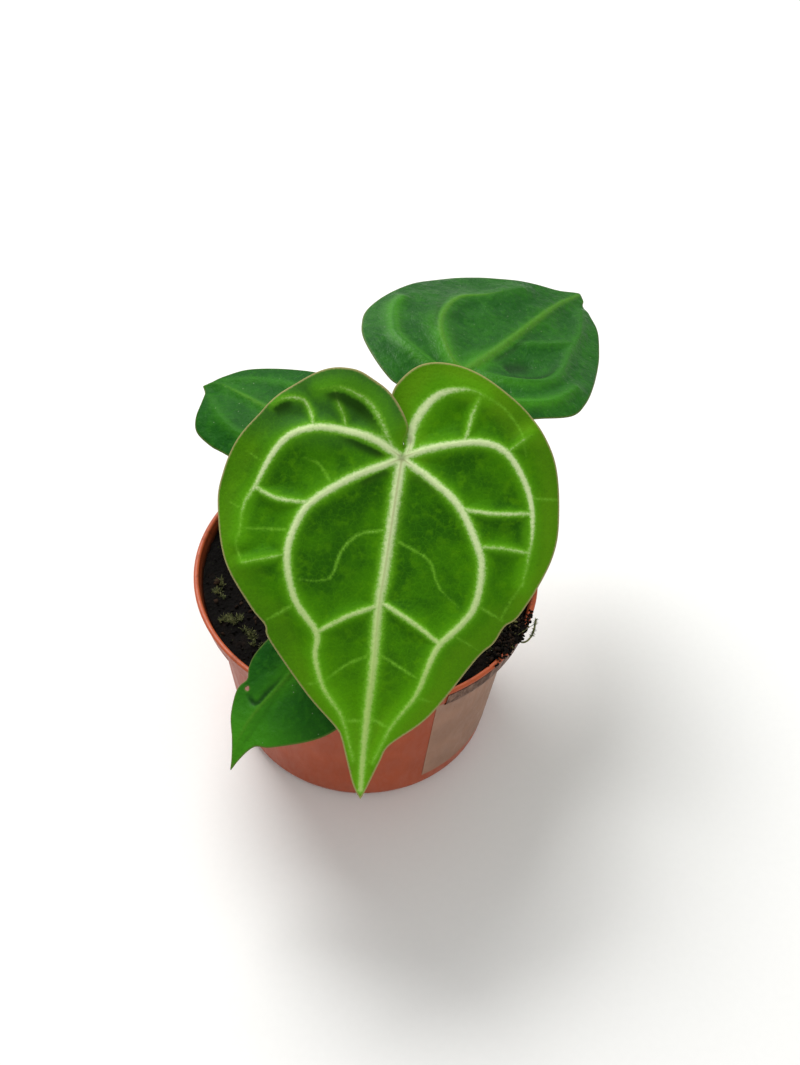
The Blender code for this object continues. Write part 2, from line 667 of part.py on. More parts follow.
def make_blade(name):
    """One heart-shaped blade, dished between its veins, with ribs beneath and a thin edge."""
    leaf = LEAVES[name]
    flat, triangles, border, veins, edge = blade_plan(leaf)
    top = []
    under = []
    for spot in flat:
        rib_gap = 1e9
        rib = 0.0
        for start, end, line in veins:
            gap, share = nearest(spot, line)
            rib_gap = min(rib_gap, gap)
            rib = max(rib, (start + (end - start) * share) * max(0.0, 1.0 - gap / RIB_SIDE))
        place, face_way = place_blade(leaf, spot, rib_gap, rib)
        edge_share = smooth(nearest(spot, edge)[0] / FILL_STEP)
        depth = BLADE_EDGE + (BLADE - BLADE_EDGE) * edge_share + rib
        top.append(place)
        under.append(place - face_way * depth)
    count = len(top)
    faces = []
    for a, b, c in triangles:
        faces.append((c, b, a))
        faces.append((count + a, count + b, count + c))
    for here, after in zip(border, border[1:] + border[:1]):
        faces.append((here, after, count + after, count + here))
    blade = add_object(name, top + under, faces, material(name), sharp=60.0)
    face_out(blade)
    return blade


def stalk_path(stalk):
    """Points from the soil up to just under the blade, bowed in the middle."""
    leaf = LEAVES[stalk["leaf"]]
    end, face_way = place_blade(leaf, Vector((0.0, 0.6)), 0.0, 0.0)
    end = end - face_way * (BLADE + JOINT_DROP + STALK_GAP)
    root = Vector((stalk["root"][0], stalk["root"][1], SOIL_TOP - HOLE_DEPTH + GAP))
    mouth = Vector((root.x, root.y, SOIL_TOP - STALK_MOUTH))
    collar = Vector((root.x, root.y, SOIL_TOP + STALK_COLLAR))
    outward = Vector((end.x - root.x, end.y - root.y, 0.0)).normalized()
    rise = (face_way * 0.8 + outward * 0.4 + Vector((0.0, 0.0, 0.2))).normalized()
    below = end - rise * JOINT_LENGTH
    middle = (collar + below) / 2.0 + Vector(stalk["bow"])
    handles = [root, mouth, collar, middle, below, end]
    return curve_through(handles, STALK_STEP), face_way


def make_stalk(name):
    """A leaf stalk: round, sheathed where it stands in the soil, thicker at the joint under the blade."""
    stalk = STALKS[name]
    line, face_way = stalk_path(stalk)
    low, high = stalk["thick"]
    total = sum((b - a).length for a, b in zip(line, line[1:]))
    points = []
    done = 0.0
    side = Vector((1.0, 0.0, 0.0))
    for index, here in enumerate(line):
        if index:
            done += (here - line[index - 1]).length
        along = (line[min(index + 1, len(line) - 1)] - line[max(index - 1, 0)]).normalized()
        if index == len(line) - 1:
            along = face_way
        side = (side - along * side.dot(along)).normalized()
        other = along.cross(side)
        share = done / total
        girth = low + (high - low) * smooth(share * TAPER)
        girth *= 1.0 + FOOT_SWELL * (1.0 - smooth(done / FOOT_LENGTH))
        girth *= 1.0 + JOINT_SWELL * smooth((done - total + JOINT_LENGTH + JOINT_RISE) / JOINT_RISE)
        for step in range(STALK_SIDES):
            turn = 2.0 * math.pi * step / STALK_SIDES
            points.append(here + side * (girth * math.cos(turn)) + other * (girth * math.sin(turn)))
    faces = []
    for ring in range(len(line) - 1):
        for step in range(STALK_SIDES):
            after = (step + 1) % STALK_SIDES
            low_ring = ring * STALK_SIDES
            faces.append((low_ring + step, low_ring + after, low_ring + STALK_SIDES + after,
                          low_ring + STALK_SIDES + step))
    faces.append(tuple(range(STALK_SIDES - 1, -1, -1)))
    faces.append(tuple((len(line) - 1) * STALK_SIDES + step for step in range(STALK_SIDES)))
    tube = add_object(name, points, faces, bpy.data.materials["petiole"], sharp=50.0)
    face_out(tube)
    return tube


def main():
    clear_scene()
    make_pot()
    make_label()
    make_soil()
    make_crown()
    material("petiole")
    for name in STALKS:
        make_stalk(name)
    for name in LEAVES:
        make_blade(name)


main()
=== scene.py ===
"""Looks for a young Anthurium clarinervium in its low nursery pot.

Laid out as an add-on and run as a script. Shapes are worked out in millimetres and turned
into metres when their mesh is made. The panel's lengths, the lights and the camera are in
metres. Each blade is drawn flat, as (across, along) points with the stalk at (0, 0) and the
tip towards +along, then cut into fine triangles and bent into place.
"""
import math
import random

import bmesh
import bpy
import numpy as np
from bpy.props import FloatProperty, FloatVectorProperty, IntProperty, PointerProperty
from mathutils import Matrix, Vector, geometry, kdtree, noise


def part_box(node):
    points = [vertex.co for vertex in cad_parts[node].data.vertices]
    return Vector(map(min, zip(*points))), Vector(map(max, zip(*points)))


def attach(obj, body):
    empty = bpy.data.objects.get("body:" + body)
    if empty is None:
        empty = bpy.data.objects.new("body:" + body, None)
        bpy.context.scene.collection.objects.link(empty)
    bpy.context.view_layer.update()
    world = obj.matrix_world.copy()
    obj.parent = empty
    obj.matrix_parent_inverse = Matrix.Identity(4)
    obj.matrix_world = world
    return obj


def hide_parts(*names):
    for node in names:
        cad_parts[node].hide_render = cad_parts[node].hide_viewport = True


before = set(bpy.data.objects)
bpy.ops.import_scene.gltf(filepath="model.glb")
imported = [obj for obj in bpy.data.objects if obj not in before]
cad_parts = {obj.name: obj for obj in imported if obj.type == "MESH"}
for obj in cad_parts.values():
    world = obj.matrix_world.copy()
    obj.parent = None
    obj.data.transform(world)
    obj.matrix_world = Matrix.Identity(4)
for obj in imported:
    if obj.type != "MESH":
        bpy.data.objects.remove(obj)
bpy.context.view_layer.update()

bl_info = {
    "name": "Potted clarinervium",
    "version": (1, 0, 0),
    "blender": (4, 5, 0),
    "location": "3D View > Sidebar > Plant",
    "description": "Builds the blades, stalks, soil and pot of a potted aroid round its packed model",
    "category": "Object",
}

MM = 0.001
SEED = 11
BODY = "root"

# Pot and soil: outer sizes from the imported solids, and what fits inside them in millimetres
POT_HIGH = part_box("pot")[1]
POT_HEIGHT = POT_HIGH.z / MM
RIM_RADIUS = POT_HIGH.x / MM
CROWN_LOW, CROWN_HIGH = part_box("crown")
LIP_WIDTH = 1.8
COLLAR_HEIGHT = 8.5
COLLAR_FOOT_RADIUS = 58.2
WALL_TOP_RADIUS = 54.0
BASE_RADIUS = 47.5
BASE_EDGE = 5.0
WALL = 1.4
FLOOR = 1.8
DRAIN_HOLES = 8
DRAIN_RING = 30.0
DRAIN_RADIUS = 4.0
COLLAR_FOOT = POT_HEIGHT - COLLAR_HEIGHT
SOIL_TOP = 69.0
SOIL_LUMP = 1.3
SOIL_BANK = 1.2
BANK_FROM = 46.0
BANK_WIDTH = 10.0
SOIL_SINK = 0.3
HEAP_HEIGHT = 5.0
HEAP_PLACE = (43.0, -25.0)
HEAP_SIZE = 12.0
HEAP_EDGE = 60.6
CLEAR_OF_STALK = 3.4
CLEAR_OF_STEM = 6.0

# Moss: clumps as (x, y, spread), then the sprig's stalk and its side thread
MOSS_CLUMPS = [
    (-51.0, -5.5, 0.9), (-51.5, -9.5, 1.1), (-47.0, -22.6, 1.0), (-44.5, -22.7, 0.8), (-41.0, -22.0, 1.2),
    (-39.0, -27.5, 1.4), (-37.0, -34.0, 1.3), (53.0, -12.0, 1.2), (50.5, -17.0, 1.2), (45.0, -31.0, 2.2),
]
SPRIG_STALK = [(50.2, -30.2, 74.2), (53.3, -30.8, 73.4), (55.4, -30.1, 75.2), (56.4, -28.7, 78.4),
               (56.7, -27.0, 81.0)]
SPRIG_THREAD = [(49.8, -29.8, 74.4), (53.0, -28.8, 76.8), (56.2, -27.8, 79.4)]

# How blades are cut and bent, in millimetres, and how veins fade, in shares of their length
LOBE_FROM = math.radians(115)
SINUS_START = 1.5
SINUS_FULL = 9.0
QUILT_REACH = 4.5
CAD_BLADE = 0.9
FADE_FROM = 0.6
FULL_START = 0.9
FULL_END = 0.8
SOFT_EDGE = 0.4
LEAST_RIDGE = 0.5
FOLD_DEPTH = 0.5
EDGE_ROUND = 0.16
HOLE_SIDES = 16
ROW_HEIGHT = 0.866
VEIN_ROOM = 0.55
GRID_ROOM = 0.72

# Blades, in millimetres and degrees. Attach is where the stalk meets the blade; heading, droop
# and roll turn it. Arch and the three drops bend it, wave its margin, quilt its panels, and the
# lobe swing and lift lay the back lobes over each other. A dent has its place, size and depth. A
# vein, of three ranks from ribs to threads, has its pale half width at its start and end, the
# height of its ridge and its flat points. A fold has its depth, its widths to the left and right
# and its flat points. A hole has its place and radius. Spacing is that of the triangles.
LEAVES = {
    "leaf_main": {
        "attach": (9.4, -18.0, 144.0), "heading": -96.5, "droop": 39.8, "roll": -4.2,
        "arch": 3.2, "side_drop": 2.5, "tip_drop": 3.5, "back_drop": -2.0,
        "wave": 0.9, "waves": 7, "quilt": 1.6, "lobe_swing": 24.0, "lobe_lift": 2.4,
        "dents": [(-17.5, -11.5, 5.0, 3.0), (-31.5, -11.5, 5.0, 2.2), (14.0, -13.5, 5.0, 0.8)],
        "spacing": 0.62,
        "right": [
            (0.6, -3.2), (1.0, -6.0), (0.8, -10.0), (1.0, -14.0), (2.2, -18.5), (5.0, -22.5),
            (11.0, -26.5), (18.0, -26.5), (26.5, -23.5), (37.0, -17.0), (46.0, -5.0), (49.5, 11.5),
            (48.5, 25.0), (41.0, 42.0), (36.6, 46.6), (34.0, 51.8), (29.6, 56.8), (20.5, 71.0),
            (15.0, 78.0), (6.5, 85.5), (4.3, 90.5), (1.9, 97.5),
        ],
        "left": [
            (-0.8, -4.2), (-3.0, -9.5), (-9.0, -16.0), (-14.5, -19.5), (-20.5, -22.0), (-28.0, -21.5),
            (-37.5, -15.5), (-44.5, -7.5), (-50.0, 0.5), (-53.0, 10.0), (-53.5, 20.0), (-49.0, 36.5),
            (-39.5, 49.5), (-34.5, 54.5), (-32.5, 59.0), (-20.0, 73.0), (-10.0, 82.0), (-7.8, 85.0),
            (-5.5, 91.0), (-2.6, 98.5),
        ],
        "tip": (0.0, 102.5),
        "ribs": [
            (2.1, 0.75, 0.45, [(0.0, 0.5), (-0.5, 14.5), (-1.0, 33.5), (-1.5, 45.0), (-1.0, 62.0),
                              (-1.0, 78.0), (-0.8, 88.5), (-0.3, 100.0)]),
            (1.45, 0.4, 0.35, [(-0.5, 0.5), (-13.5, 7.5), (-25.0, 16.5), (-29.2, 24.5), (-30.3, 34.0),
                              (-26.5, 46.0), (-19.0, 55.0), (-18.5, 62.0), (-15.0, 71.0), (-8.5, 79.0),
                              (-3.5, 91.5)]),
            (1.45, 0.4, 0.35, [(0.5, 0.5), (8.5, 5.0), (18.0, 12.0), (24.5, 22.0), (27.5, 30.0),
                              (27.0, 41.0), (23.5, 47.5), (18.0, 54.0), (15.5, 60.0), (12.5, 70.0),
                              (6.5, 80.0), (2.2, 91.5)]),
            (1.5, 0.3, 0.35, [(-0.8, -0.5), (-9.5, -4.5), (-18.5, -6.0), (-27.5, -5.5), (-34.5, -2.0),
                              (-39.0, 4.5), (-42.5, 13.5), (-45.3, 20.0), (-45.5, 29.5)]),
            (1.35, 0.35, 0.35, [(0.8, -0.5), (7.5, -3.5), (18.0, -6.5), (25.5, -7.0), (31.5, -4.5),
                              (36.5, 1.5), (40.0, 8.5), (41.5, 17.5), (41.0, 26.5), (40.2, 34.0)]),
            (0.54, 0.2, 0.3, [(-0.8, -1.5), (-3.8, -3.4), (-8.7, -9.2), (-12.5, -13.2), (-16.0, -15.4),
                             (-19.7, -16.9), (-23.2, -17.3), (-27.5, -16.6)]),
            (1.0, 0.35, 0.25, [(1.3, -1.5), (5.0, -9.5), (9.5, -15.5), (14.0, -19.0), (20.0, -20.5),
                              (23.5, -19.7)]),
        ],
        "branches": [
            (0.8, 0.7, 0.2, [(-1.5, 45.0), (-3.0, 45.5), (-11.0, 49.5), (-19.0, 55.0)]),
            (0.8, 0.7, 0.2, [(-1.4, 44.0), (0.5, 44.5), (10.0, 49.2), (17.5, 53.8)]),
            (0.7, 0.6, 0.1, [(-42.5, 14.0), (-36.5, 16.5), (-29.0, 17.0), (-25.5, 16.5)]),
            (0.7, 0.6, 0.1, [(20.0, 13.5), (30.0, 13.5), (40.8, 12.0)]),
            (0.6, 0.5, 0.1, [(26.0, 24.0), (33.5, 23.5), (41.0, 24.0)]),
            (0.5, 0.4, 0.1, [(-30.5, 33.0), (-37.0, 35.0), (-43.5, 37.0)]),
            (0.5, 0.3, 0.1, [(-17.7, -6.0), (-18.7, -10.0), (-20.9, -13.3), (-23.0, -16.8)]),
            (0.6, 0.3, 0.1, [(-27.4, -5.8), (-28.4, -9.5), (-29.9, -12.1), (-31.4, -13.6), (-33.9, -13.9),
                             (-37.3, -13.2), (-40.0, -11.0)]),
            (0.6, 0.3, 0.1, [(18.0, -6.5), (19.5, -13.5), (22.5, -19.8)]),
            (0.5, 0.2, 0.1, [(31.0, -5.0), (35.5, -9.5), (38.0, -11.5)]),
        ],
        "folds": [
            (0.85, 2.8, 0.55, [(-41.0, -8.6), (-38.0, -11.2), (-35.0, -12.5), (-31.8, -12.8)]),
            (1.0, 2.2, 0.5, [(-28.0, -15.4), (-21.7, -15.8), (-18.0, -14.6), (-15.0, -13.2), (-11.0, -10.0),
                             (-8.0, -7.0), (-4.0, -2.8)]),
            (0.8, 0.45, 2.2, [(-3.0, 0.8), (-7.8, -1.0), (-12.2, -2.3), (-16.9, -3.5), (-25.0, -4.2)]),
            (0.7, 0.45, 2.4, [(-2.6, 3.2), (-6.5, 5.7), (-10.0, 8.0), (-16.0, 12.2)]),
            (0.5, 2.4, 0.45, [(2.8, 3.4), (8.0, 6.8), (17.0, 13.2)]),
            (0.5, 2.0, 0.6, [(1.8, -3.0), (2.4, -8.0), (2.6, -14.0)]),
            (0.4, 0.5, 2.6, [(1.4, 6.0), (0.9, 22.0), (0.6, 40.0)]),
        ],
        "hole": None,
        "threads": [
            (0.4, 0.2, 0.0, [(-1.2, 22.0), (-3.5, 22.5), (-10.0, 24.5), (-14.5, 30.0), (-16.5, 37.5),
                             (-19.5, 39.5), (-26.0, 40.0)]),
            (0.35, 0.15, 0.0, [(-0.8, 24.0), (1.5, 25.0), (11.5, 29.5), (15.5, 37.0), (22.0, 42.5)]),
            (0.35, 0.2, 0.0, [(-1.0, 59.5), (-2.5, 60.0), (-8.5, 63.2), (-14.5, 68.5)]),
            (0.35, 0.2, 0.0, [(-1.0, 58.5), (1.0, 59.5), (11.5, 64.5), (13.5, 65.2)]),
            (0.4, 0.3, 0.0, [(-1.0, 79.0), (-3.0, 79.5), (-8.5, 80.0)]),
            (0.4, 0.3, 0.0, [(-1.0, 78.0), (1.5, 79.0), (6.0, 80.5)]),
            (0.4, 0.25, 0.0, [(-26.0, 47.0), (-34.0, 53.0)]),
            (0.35, 0.2, 0.0, [(-29.0, 25.5), (-46.0, 26.8)]),
            (0.35, 0.2, 0.0, [(26.5, 41.0), (29.0, 42.0), (36.0, 45.0)]),
            (0.3, 0.15, 0.0, [(20.5, 50.5), (29.5, 54.5)]),
            (0.35, 0.2, 0.0, [(40.0, 7.5), (49.0, 6.5)]),
            (0.35, 0.15, 0.0, [(-19.0, 12.0), (-21.5, 8.5), (-24.5, 5.0), (-29.0, 3.5)]),
            (0.3, 0.2, 0.0, [(-43.5, 37.0), (-46.0, 32.0), (-45.8, 27.0)]),
            (0.3, 0.2, 0.0, [(40.3, 33.0), (37.5, 39.0), (35.0, 45.0)]),
            (0.3, 0.2, 0.0, [(23.5, -19.8), (29.5, -17.5), (34.5, -12.0), (37.0, -5.0)]),
            (0.25, 0.15, 0.0, [(-45.5, 21.0), (-50.5, 19.0)]),
            (0.25, 0.15, 0.0, [(-40.0, 7.0), (-46.5, 3.5)]),
            (0.3, 0.15, 0.0, [(12.0, 70.5), (18.0, 71.5)]),
            (0.3, 0.15, 0.0, [(-15.5, 70.0), (-20.5, 70.5)]),
        ],
    },
    "leaf_back_right": {
        "attach": (32.4, 38.1, 132.0), "heading": 55.3, "droop": 10.8, "roll": 10.3,
        "arch": 2.4, "side_drop": 3.0, "tip_drop": 3.0, "back_drop": 1.5,
        "wave": 0.8, "waves": 6, "quilt": 1.3, "lobe_swing": 0.0, "lobe_lift": 0.0,
        "dents": [(-12.0, 24.0, 8.0, 1.5), (14.0, 22.0, 8.0, 0.8)],
        "spacing": 0.8,
        "right": [
            (0.5, -3.5), (2.5, -12.0), (5.5, -20.0), (12.0, -25.5), (19.0, -24.8), (27.5, -21.0),
            (34.5, -15.5), (40.0, -8.0), (44.5, 1.0), (46.0, 11.0), (45.2, 25.0), (43.5, 36.0),
            (38.7, 49.0), (32.5, 57.0), (26.0, 62.5), (16.5, 70.7), (9.0, 77.0), (5.5, 81.0),
        ],
        "left": [
            (-1.0, -4.0), (-3.0, -12.0), (-7.0, -19.0), (-13.0, -21.0), (-19.5, -17.0), (-25.0, -8.0),
            (-29.0, 1.0), (-35.0, 14.0), (-35.0, 23.5), (-32.0, 35.0), (-26.5, 50.0), (-21.8, 59.5),
            (-15.0, 70.3), (-8.0, 76.5), (-3.0, 80.0), (-1.2, 83.5),
        ],
        "tip": (1.9, 86.0),
        "ribs": [
            (1.8, 0.7, 0.5, [(1.0, 0.5), (1.1, 19.9), (1.5, 33.9), (2.0, 50.1), (2.6, 68.2), (1.6, 84.3)]),
            (1.2, 0.2, 0.4, [(0.8, -1.0), (6.6, -1.2), (15.0, 4.5), (21.2, 11.7), (25.6, 22.2), (27.0, 34.8),
                             (21.7, 46.0), (16.0, 61.6)]),
        ],
        "branches": [
            (1.2, 0.4, 0.4, [(-0.6, 3.0), (-8.0, 4.9), (-14.9, 11.0), (-20.4, 20.2), (-20.3, 31.1),
                             (-15.7, 46.0), (-12.5, 59.0), (-4.6, 75.2)]),
            (0.9, 0.3, 0.3, [(0.8, -1.5), (6.0, -8.0), (12.0, -9.7), (20.5, -9.0), (27.5, -6.8),
                             (33.0, -0.5), (39.0, 9.0), (40.5, 16.0)]),
            (0.5, 0.2, 0.3, [(-0.8, -1.5), (-8.0, -6.5), (-16.0, -5.0), (-23.0, 3.0), (-28.0, 14.0),
                             (-29.0, 27.0)]),
            (0.5, 0.2, 0.0, [(1.2, 28.0), (-7.8, 40.5), (-13.4, 50.0)]),
        ],
        "folds": [
            (0.8, 4.0, 4.0, [(-5.5, 12.0), (-9.5, 21.0), (-10.0, 31.0)]),
            (0.8, 0.6, 2.0, [(-6.5, 6.4), (-12.5, 12.6), (-17.4, 20.0), (-18.4, 29.0), (-14.5, 42.0)]),
            (0.6, 2.0, 0.6, [(-1.0, 8.0), (-1.6, 24.0), (-0.8, 40.0), (-0.2, 56.0)]),
            (0.5, 0.6, 2.4, [(16.0, 2.5), (24.0, 14.0), (28.3, 24.0), (29.5, 34.8), (24.5, 47.0)]),
        ],
        "hole": None,
        "threads": [
            (0.4, 0.2, 0.0, [(22.0, 13.5), (30.0, 10.5), (38.0, 9.0)]),
            (0.4, 0.2, 0.0, [(1.2, 40.0), (12.0, 46.0), (21.0, 46.5)]),
        ],
    },
    "leaf_back_left": {
        "attach": (-22.4, 22.5, 116.0), "heading": 141.2, "droop": 7.8, "roll": -13.6,
        "arch": 1.6, "side_drop": 2.0, "tip_drop": 2.0, "back_drop": 1.0,
        "wave": 0.7, "waves": 5, "quilt": 0.8, "lobe_swing": 0.0, "lobe_lift": 0.0,
        "dents": [],
        "spacing": 0.7,
        "right": [
            (0.5, -2.5), (2.5, -8.5), (8.0, -13.0), (15.0, -10.0), (19.5, -1.5), (20.5, 10.0),
            (19.5, 22.0), (19.3, 28.5), (17.5, 36.5), (13.5, 40.5), (7.0, 43.5), (2.8, 46.0),
        ],
        "left": [
            (-0.8, -3.0), (-4.0, -10.5), (-11.0, -14.0), (-18.5, -9.5), (-23.5, 0.0), (-25.0, 11.5),
            (-23.5, 22.5), (-20.0, 32.0), (-13.8, 40.6), (-6.5, 45.5), (-2.2, 47.8),
        ],
        "tip": (0.0, 50.0),
        "ribs": [
            (0.8, 0.3, 0.3, [(0.0, 0.5), (-2.5, 11.7), (-2.4, 22.0), (-2.8, 32.8), (-3.2, 43.1),
                             (-1.6, 48.0)]),
        ],
        "branches": [
            (0.4, 0.1, 0.2, [(0.6, 0.5), (8.0, 5.0), (11.5, 16.0), (10.0, 30.0), (3.0, 43.0)]),
            (0.4, 0.1, 0.2, [(-0.6, 0.5), (-10.0, 5.0), (-14.5, 16.0), (-12.5, 30.0), (-5.0, 43.0)]),
            (0.4, 0.2, 0.1, [(-0.6, -1.0), (-8.0, -6.0), (-16.0, -2.0), (-20.5, 8.0)]),
            (0.4, 0.2, 0.1, [(0.6, -1.0), (7.0, -6.0), (13.5, -2.0), (16.5, 8.0)]),
        ],
        "folds": [(0.4, 1.8, 0.6, [(-4.0, 10.0), (-4.2, 30.0), (-4.2, 44.0)])],
        "hole": None,
        "threads": [],
    },
    "leaf_small": {
        "attach": (-18.3, -50.4, 88.0), "heading": -127.8, "droop": 30.9, "roll": -4.5,
        "arch": 1.8, "side_drop": 1.5, "tip_drop": 2.0, "back_drop": 1.0,
        "wave": 0.7, "waves": 5, "quilt": 0.8, "lobe_swing": 0.0, "lobe_lift": 0.0,
        "dents": [],
        "spacing": 0.6,
        "right": [
            (0.5, -2.5), (3.0, -8.0), (9.0, -11.0), (16.0, -8.0), (21.0, -0.5), (22.5, 8.0),
            (20.5, 15.0), (15.6, 21.9), (7.6, 29.4), (3.2, 31.8), (1.6, 34.5), (0.7, 38.0),
        ],
        "left": [
            (-0.8, -3.0), (-4.0, -8.5), (-9.0, -7.0), (-12.5, 0.0), (-14.0, 8.0), (-13.4, 13.0),
            (-11.7, 16.4), (-12.8, 19.8), (-12.3, 23.5), (-9.5, 29.0), (-5.0, 34.0), (-1.6, 39.0),
        ],
        "tip": (0.0, 42.5),
        "ribs": [
            (0.7, 0.3, 0.3, [(0.0, 0.5), (-0.8, 7.6), (-1.6, 13.7), (-2.9, 20.2), (-3.3, 25.7), (-3.1, 32.2),
                             (-1.4, 38.8)]),
        ],
        "branches": [],
        "folds": [
            (0.85, 0.7, 1.3, [(-11.0, 21.0), (-9.0, 20.8), (-7.6, 20.9), (-5.7, 21.6), (-4.1, 20.6),
                              (-3.4, 16.4), (-2.5, 11.3), (-2.1, 3.0)]),
        ],
        "hole": (-10.1, 18.9, 0.85),
        "threads": [],
    },
}

# Where each stalk stands, its radii at the foot and the top, and the bow of its middle
STALKS = {
    "petiole_main": ("leaf_main", (1.5, -9.5), (2.5, 1.7), (-1.5, 6.0, 0.0)),
    "petiole_back_right": ("leaf_back_right", (8.5, 5.5), (2.4, 1.6), (-4.0, -5.0, 6.0)),
    "petiole_back_left": ("leaf_back_left", (-7.5, 6.5), (2.0, 1.3), (2.0, -3.0, 4.0)),
    "petiole_small": ("leaf_small", (-9.0, -5.0), (1.8, 1.2), (1.0, 3.0, 2.5)),
}
HOLE_DEPTH = 14.0
STALK_GAP = 0.35
FOOT_GAP = 0.3
JOINT_DEPTH = 1.1
JOINT_LENGTH = 7.0

# Old blades: name of the piece, roughness, shine, and how fresh the tip is
OLD_BLADES = {
    "leaf_back_right": ("blade_back_right", 0.36, 0.17, 0.0),
    "leaf_back_left": ("blade_back_left", 0.5, 0.1, 0.0),
    "leaf_small": ("blade_small", 0.46, 0.12, 0.8),
}


def smooth(t):
    """Ease from 0 to 1 as t goes from 0 to 1, for a number or an array."""
    t = np.clip(t, 0.0, 1.0)
    return t * t * (3.0 - 2.0 * t)


def linear(colour):
    """An sRGB colour as the linear one that shaders take."""
    return [c / 12.92 if c <= 0.04045 else ((c + 0.055) / 1.055) ** 2.4 for c in colour[:3]]


def colour_property(name, description, default):
    """An sRGB colour that a user can change."""
    return FloatVectorProperty(name=name, description=description, subtype="COLOR_GAMMA", size=3,
                               min=0.0, max=1.0, default=default)


# Shader boards

class Board:
    """One material's node board, with short calls for the nodes used here."""

    def __init__(self, name):
        self.material = bpy.data.materials.new(name)
        self.material.use_nodes = True
        self.nodes = self.material.node_tree.nodes
        self.links = self.material.node_tree.links
        self.shader = self.nodes["Principled BSDF"]

    def put(self, socket, value):
        """Link a socket, or set its constant."""
        if isinstance(value, bpy.types.NodeSocket):
            self.links.new(value, socket)
        elif isinstance(value, (tuple, list)) and len(value) == 3 and len(socket.default_value) == 4:
            socket.default_value = list(value) + [1.0]
        else:
            socket.default_value = value

    def calc(self, operation, first, second=0.0):
        """A sum with one or two terms."""
        made = self.nodes.new("ShaderNodeMath")
        made.operation = operation
        self.put(made.inputs[0], first)
        self.put(made.inputs[1], second)
        return made.outputs[0]

    def plus(self, first, second):
        return self.calc("ADD", first, second)

    def minus(self, first, second):
        return self.calc("SUBTRACT", first, second)

    def times(self, first, second):
        return self.calc("MULTIPLY", first, second)

    def reach(self, first, second):
        """How far the point (first, second) is from (0, 0)."""
        return self.calc("SQRT", self.plus(self.times(first, first), self.times(second, second)))

    def sway(self, pattern, amount):
        """A 0 to 1 pattern made to swing evenly about 0."""
        return self.times(self.minus(pattern, 0.5), amount)

    def ease(self, value, low, high, start=0.0, end=1.0):
        """Map low..high to start..end, smoothly and clamped."""
        made = self.nodes.new("ShaderNodeMapRange")
        made.interpolation_type = "SMOOTHSTEP"
        for place, number in zip(range(5), (value, low, high, start, end)):
            self.put(made.inputs[place], number)
        return made.outputs[0]

    def mix(self, share, first, second):
        """Mix two sRGB colours or colour sockets."""
        made = self.nodes.new("ShaderNodeMix")
        made.data_type = "RGBA"
        self.put(made.inputs[0], share)
        for socket, colour in ((made.inputs[6], first), (made.inputs[7], second)):
            self.put(socket, colour if isinstance(colour, bpy.types.NodeSocket) else linear(colour))
        return made.outputs[2]

    def attribute(self, name):
        """A number that the mesh holds at each point."""
        made = self.nodes.new("ShaderNodeAttribute")
        made.attribute_name = name
        return made.outputs["Fac"]

    def place(self, stretch=(1.0, 1.0, 1.0)):
        """Object coordinates in millimetres, stretched."""
        where = self.nodes.new("ShaderNodeTexCoord")
        made = self.nodes.new("ShaderNodeMapping")
        made.inputs["Scale"].default_value = [s / MM for s in stretch]
        self.links.new(where.outputs["Object"], made.inputs["Vector"])
        return made.outputs[0]

    def parts(self, vector):
        """The x, y and z of a vector."""
        made = self.nodes.new("ShaderNodeSeparateXYZ")
        self.links.new(vector, made.inputs[0])
        return made.outputs[0], made.outputs[1], made.outputs[2]

    def noise(self, vector, scale, detail, roughness, distortion=0.0):
        """A cloudy pattern from 0 to 1, with scale features in each millimetre."""
        made = self.nodes.new("ShaderNodeTexNoise")
        self.put(made.inputs["Vector"], vector)
        made.inputs["Scale"].default_value = scale
        made.inputs["Detail"].default_value = detail
        made.inputs["Roughness"].default_value = roughness
        made.inputs["Distortion"].default_value = distortion
        return made.outputs["Fac"]

    def cells(self, vector, scale, feature="F1"):
        """Distance to the middle of the nearest cell, or to its edge."""
        made = self.nodes.new("ShaderNodeTexVoronoi")
        made.feature = feature
        self.put(made.inputs["Vector"], vector)
        made.inputs["Scale"].default_value = scale
        return made.outputs["Distance"]

    def bump(self, height, strength, distance_mm):
        """Fine relief on the shader's normal."""
        made = self.nodes.new("ShaderNodeBump")
        made.inputs["Strength"].default_value = strength
        made.inputs["Distance"].default_value = distance_mm * MM
        self.put(made.inputs["Height"], height)
        self.links.new(made.outputs[0], self.shader.inputs["Normal"])

    def finish(self, colour, roughness, **constants):
        """Link the colour and the roughness; the rest are constants on the shader's own sockets."""
        self.put(self.shader.inputs["Base Color"], colour)
        self.put(self.shader.inputs["Roughness"], roughness)
        for name, value in constants.items():
            self.shader.inputs[name.replace("_", " ")].default_value = value
        return self.material


# Mesh helpers

def add_piece(name, points, faces, finishes, node=None, sharp=180.0):
    """A mesh piece from points in millimetres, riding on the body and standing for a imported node."""
    mesh = bpy.data.meshes.new(name)
    mesh.from_pydata((np.asarray(points, float) * MM).tolist(), [], faces)
    mesh.validate()
    for finish in finishes:
        mesh.materials.append(finish)
    mesh.shade_smooth()
    if sharp < 180.0:
        mesh.set_sharp_from_angle(angle=math.radians(sharp))
    piece = bpy.data.objects.new(name, mesh)
    bpy.context.scene.collection.objects.link(piece)
    settle(piece, node)
    return piece


def settle(piece, node):
    """Ride on the body, and hide the imported node that the piece stands for."""
    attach(piece, BODY)
    if node:
        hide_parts(node)


def store(piece, name, values):
    """Keep one number for each point, for the shader to read."""
    layer = piece.data.attributes.new(name, "FLOAT", "POINT")
    layer.data.foreach_set("value", np.asarray(values, np.float32))


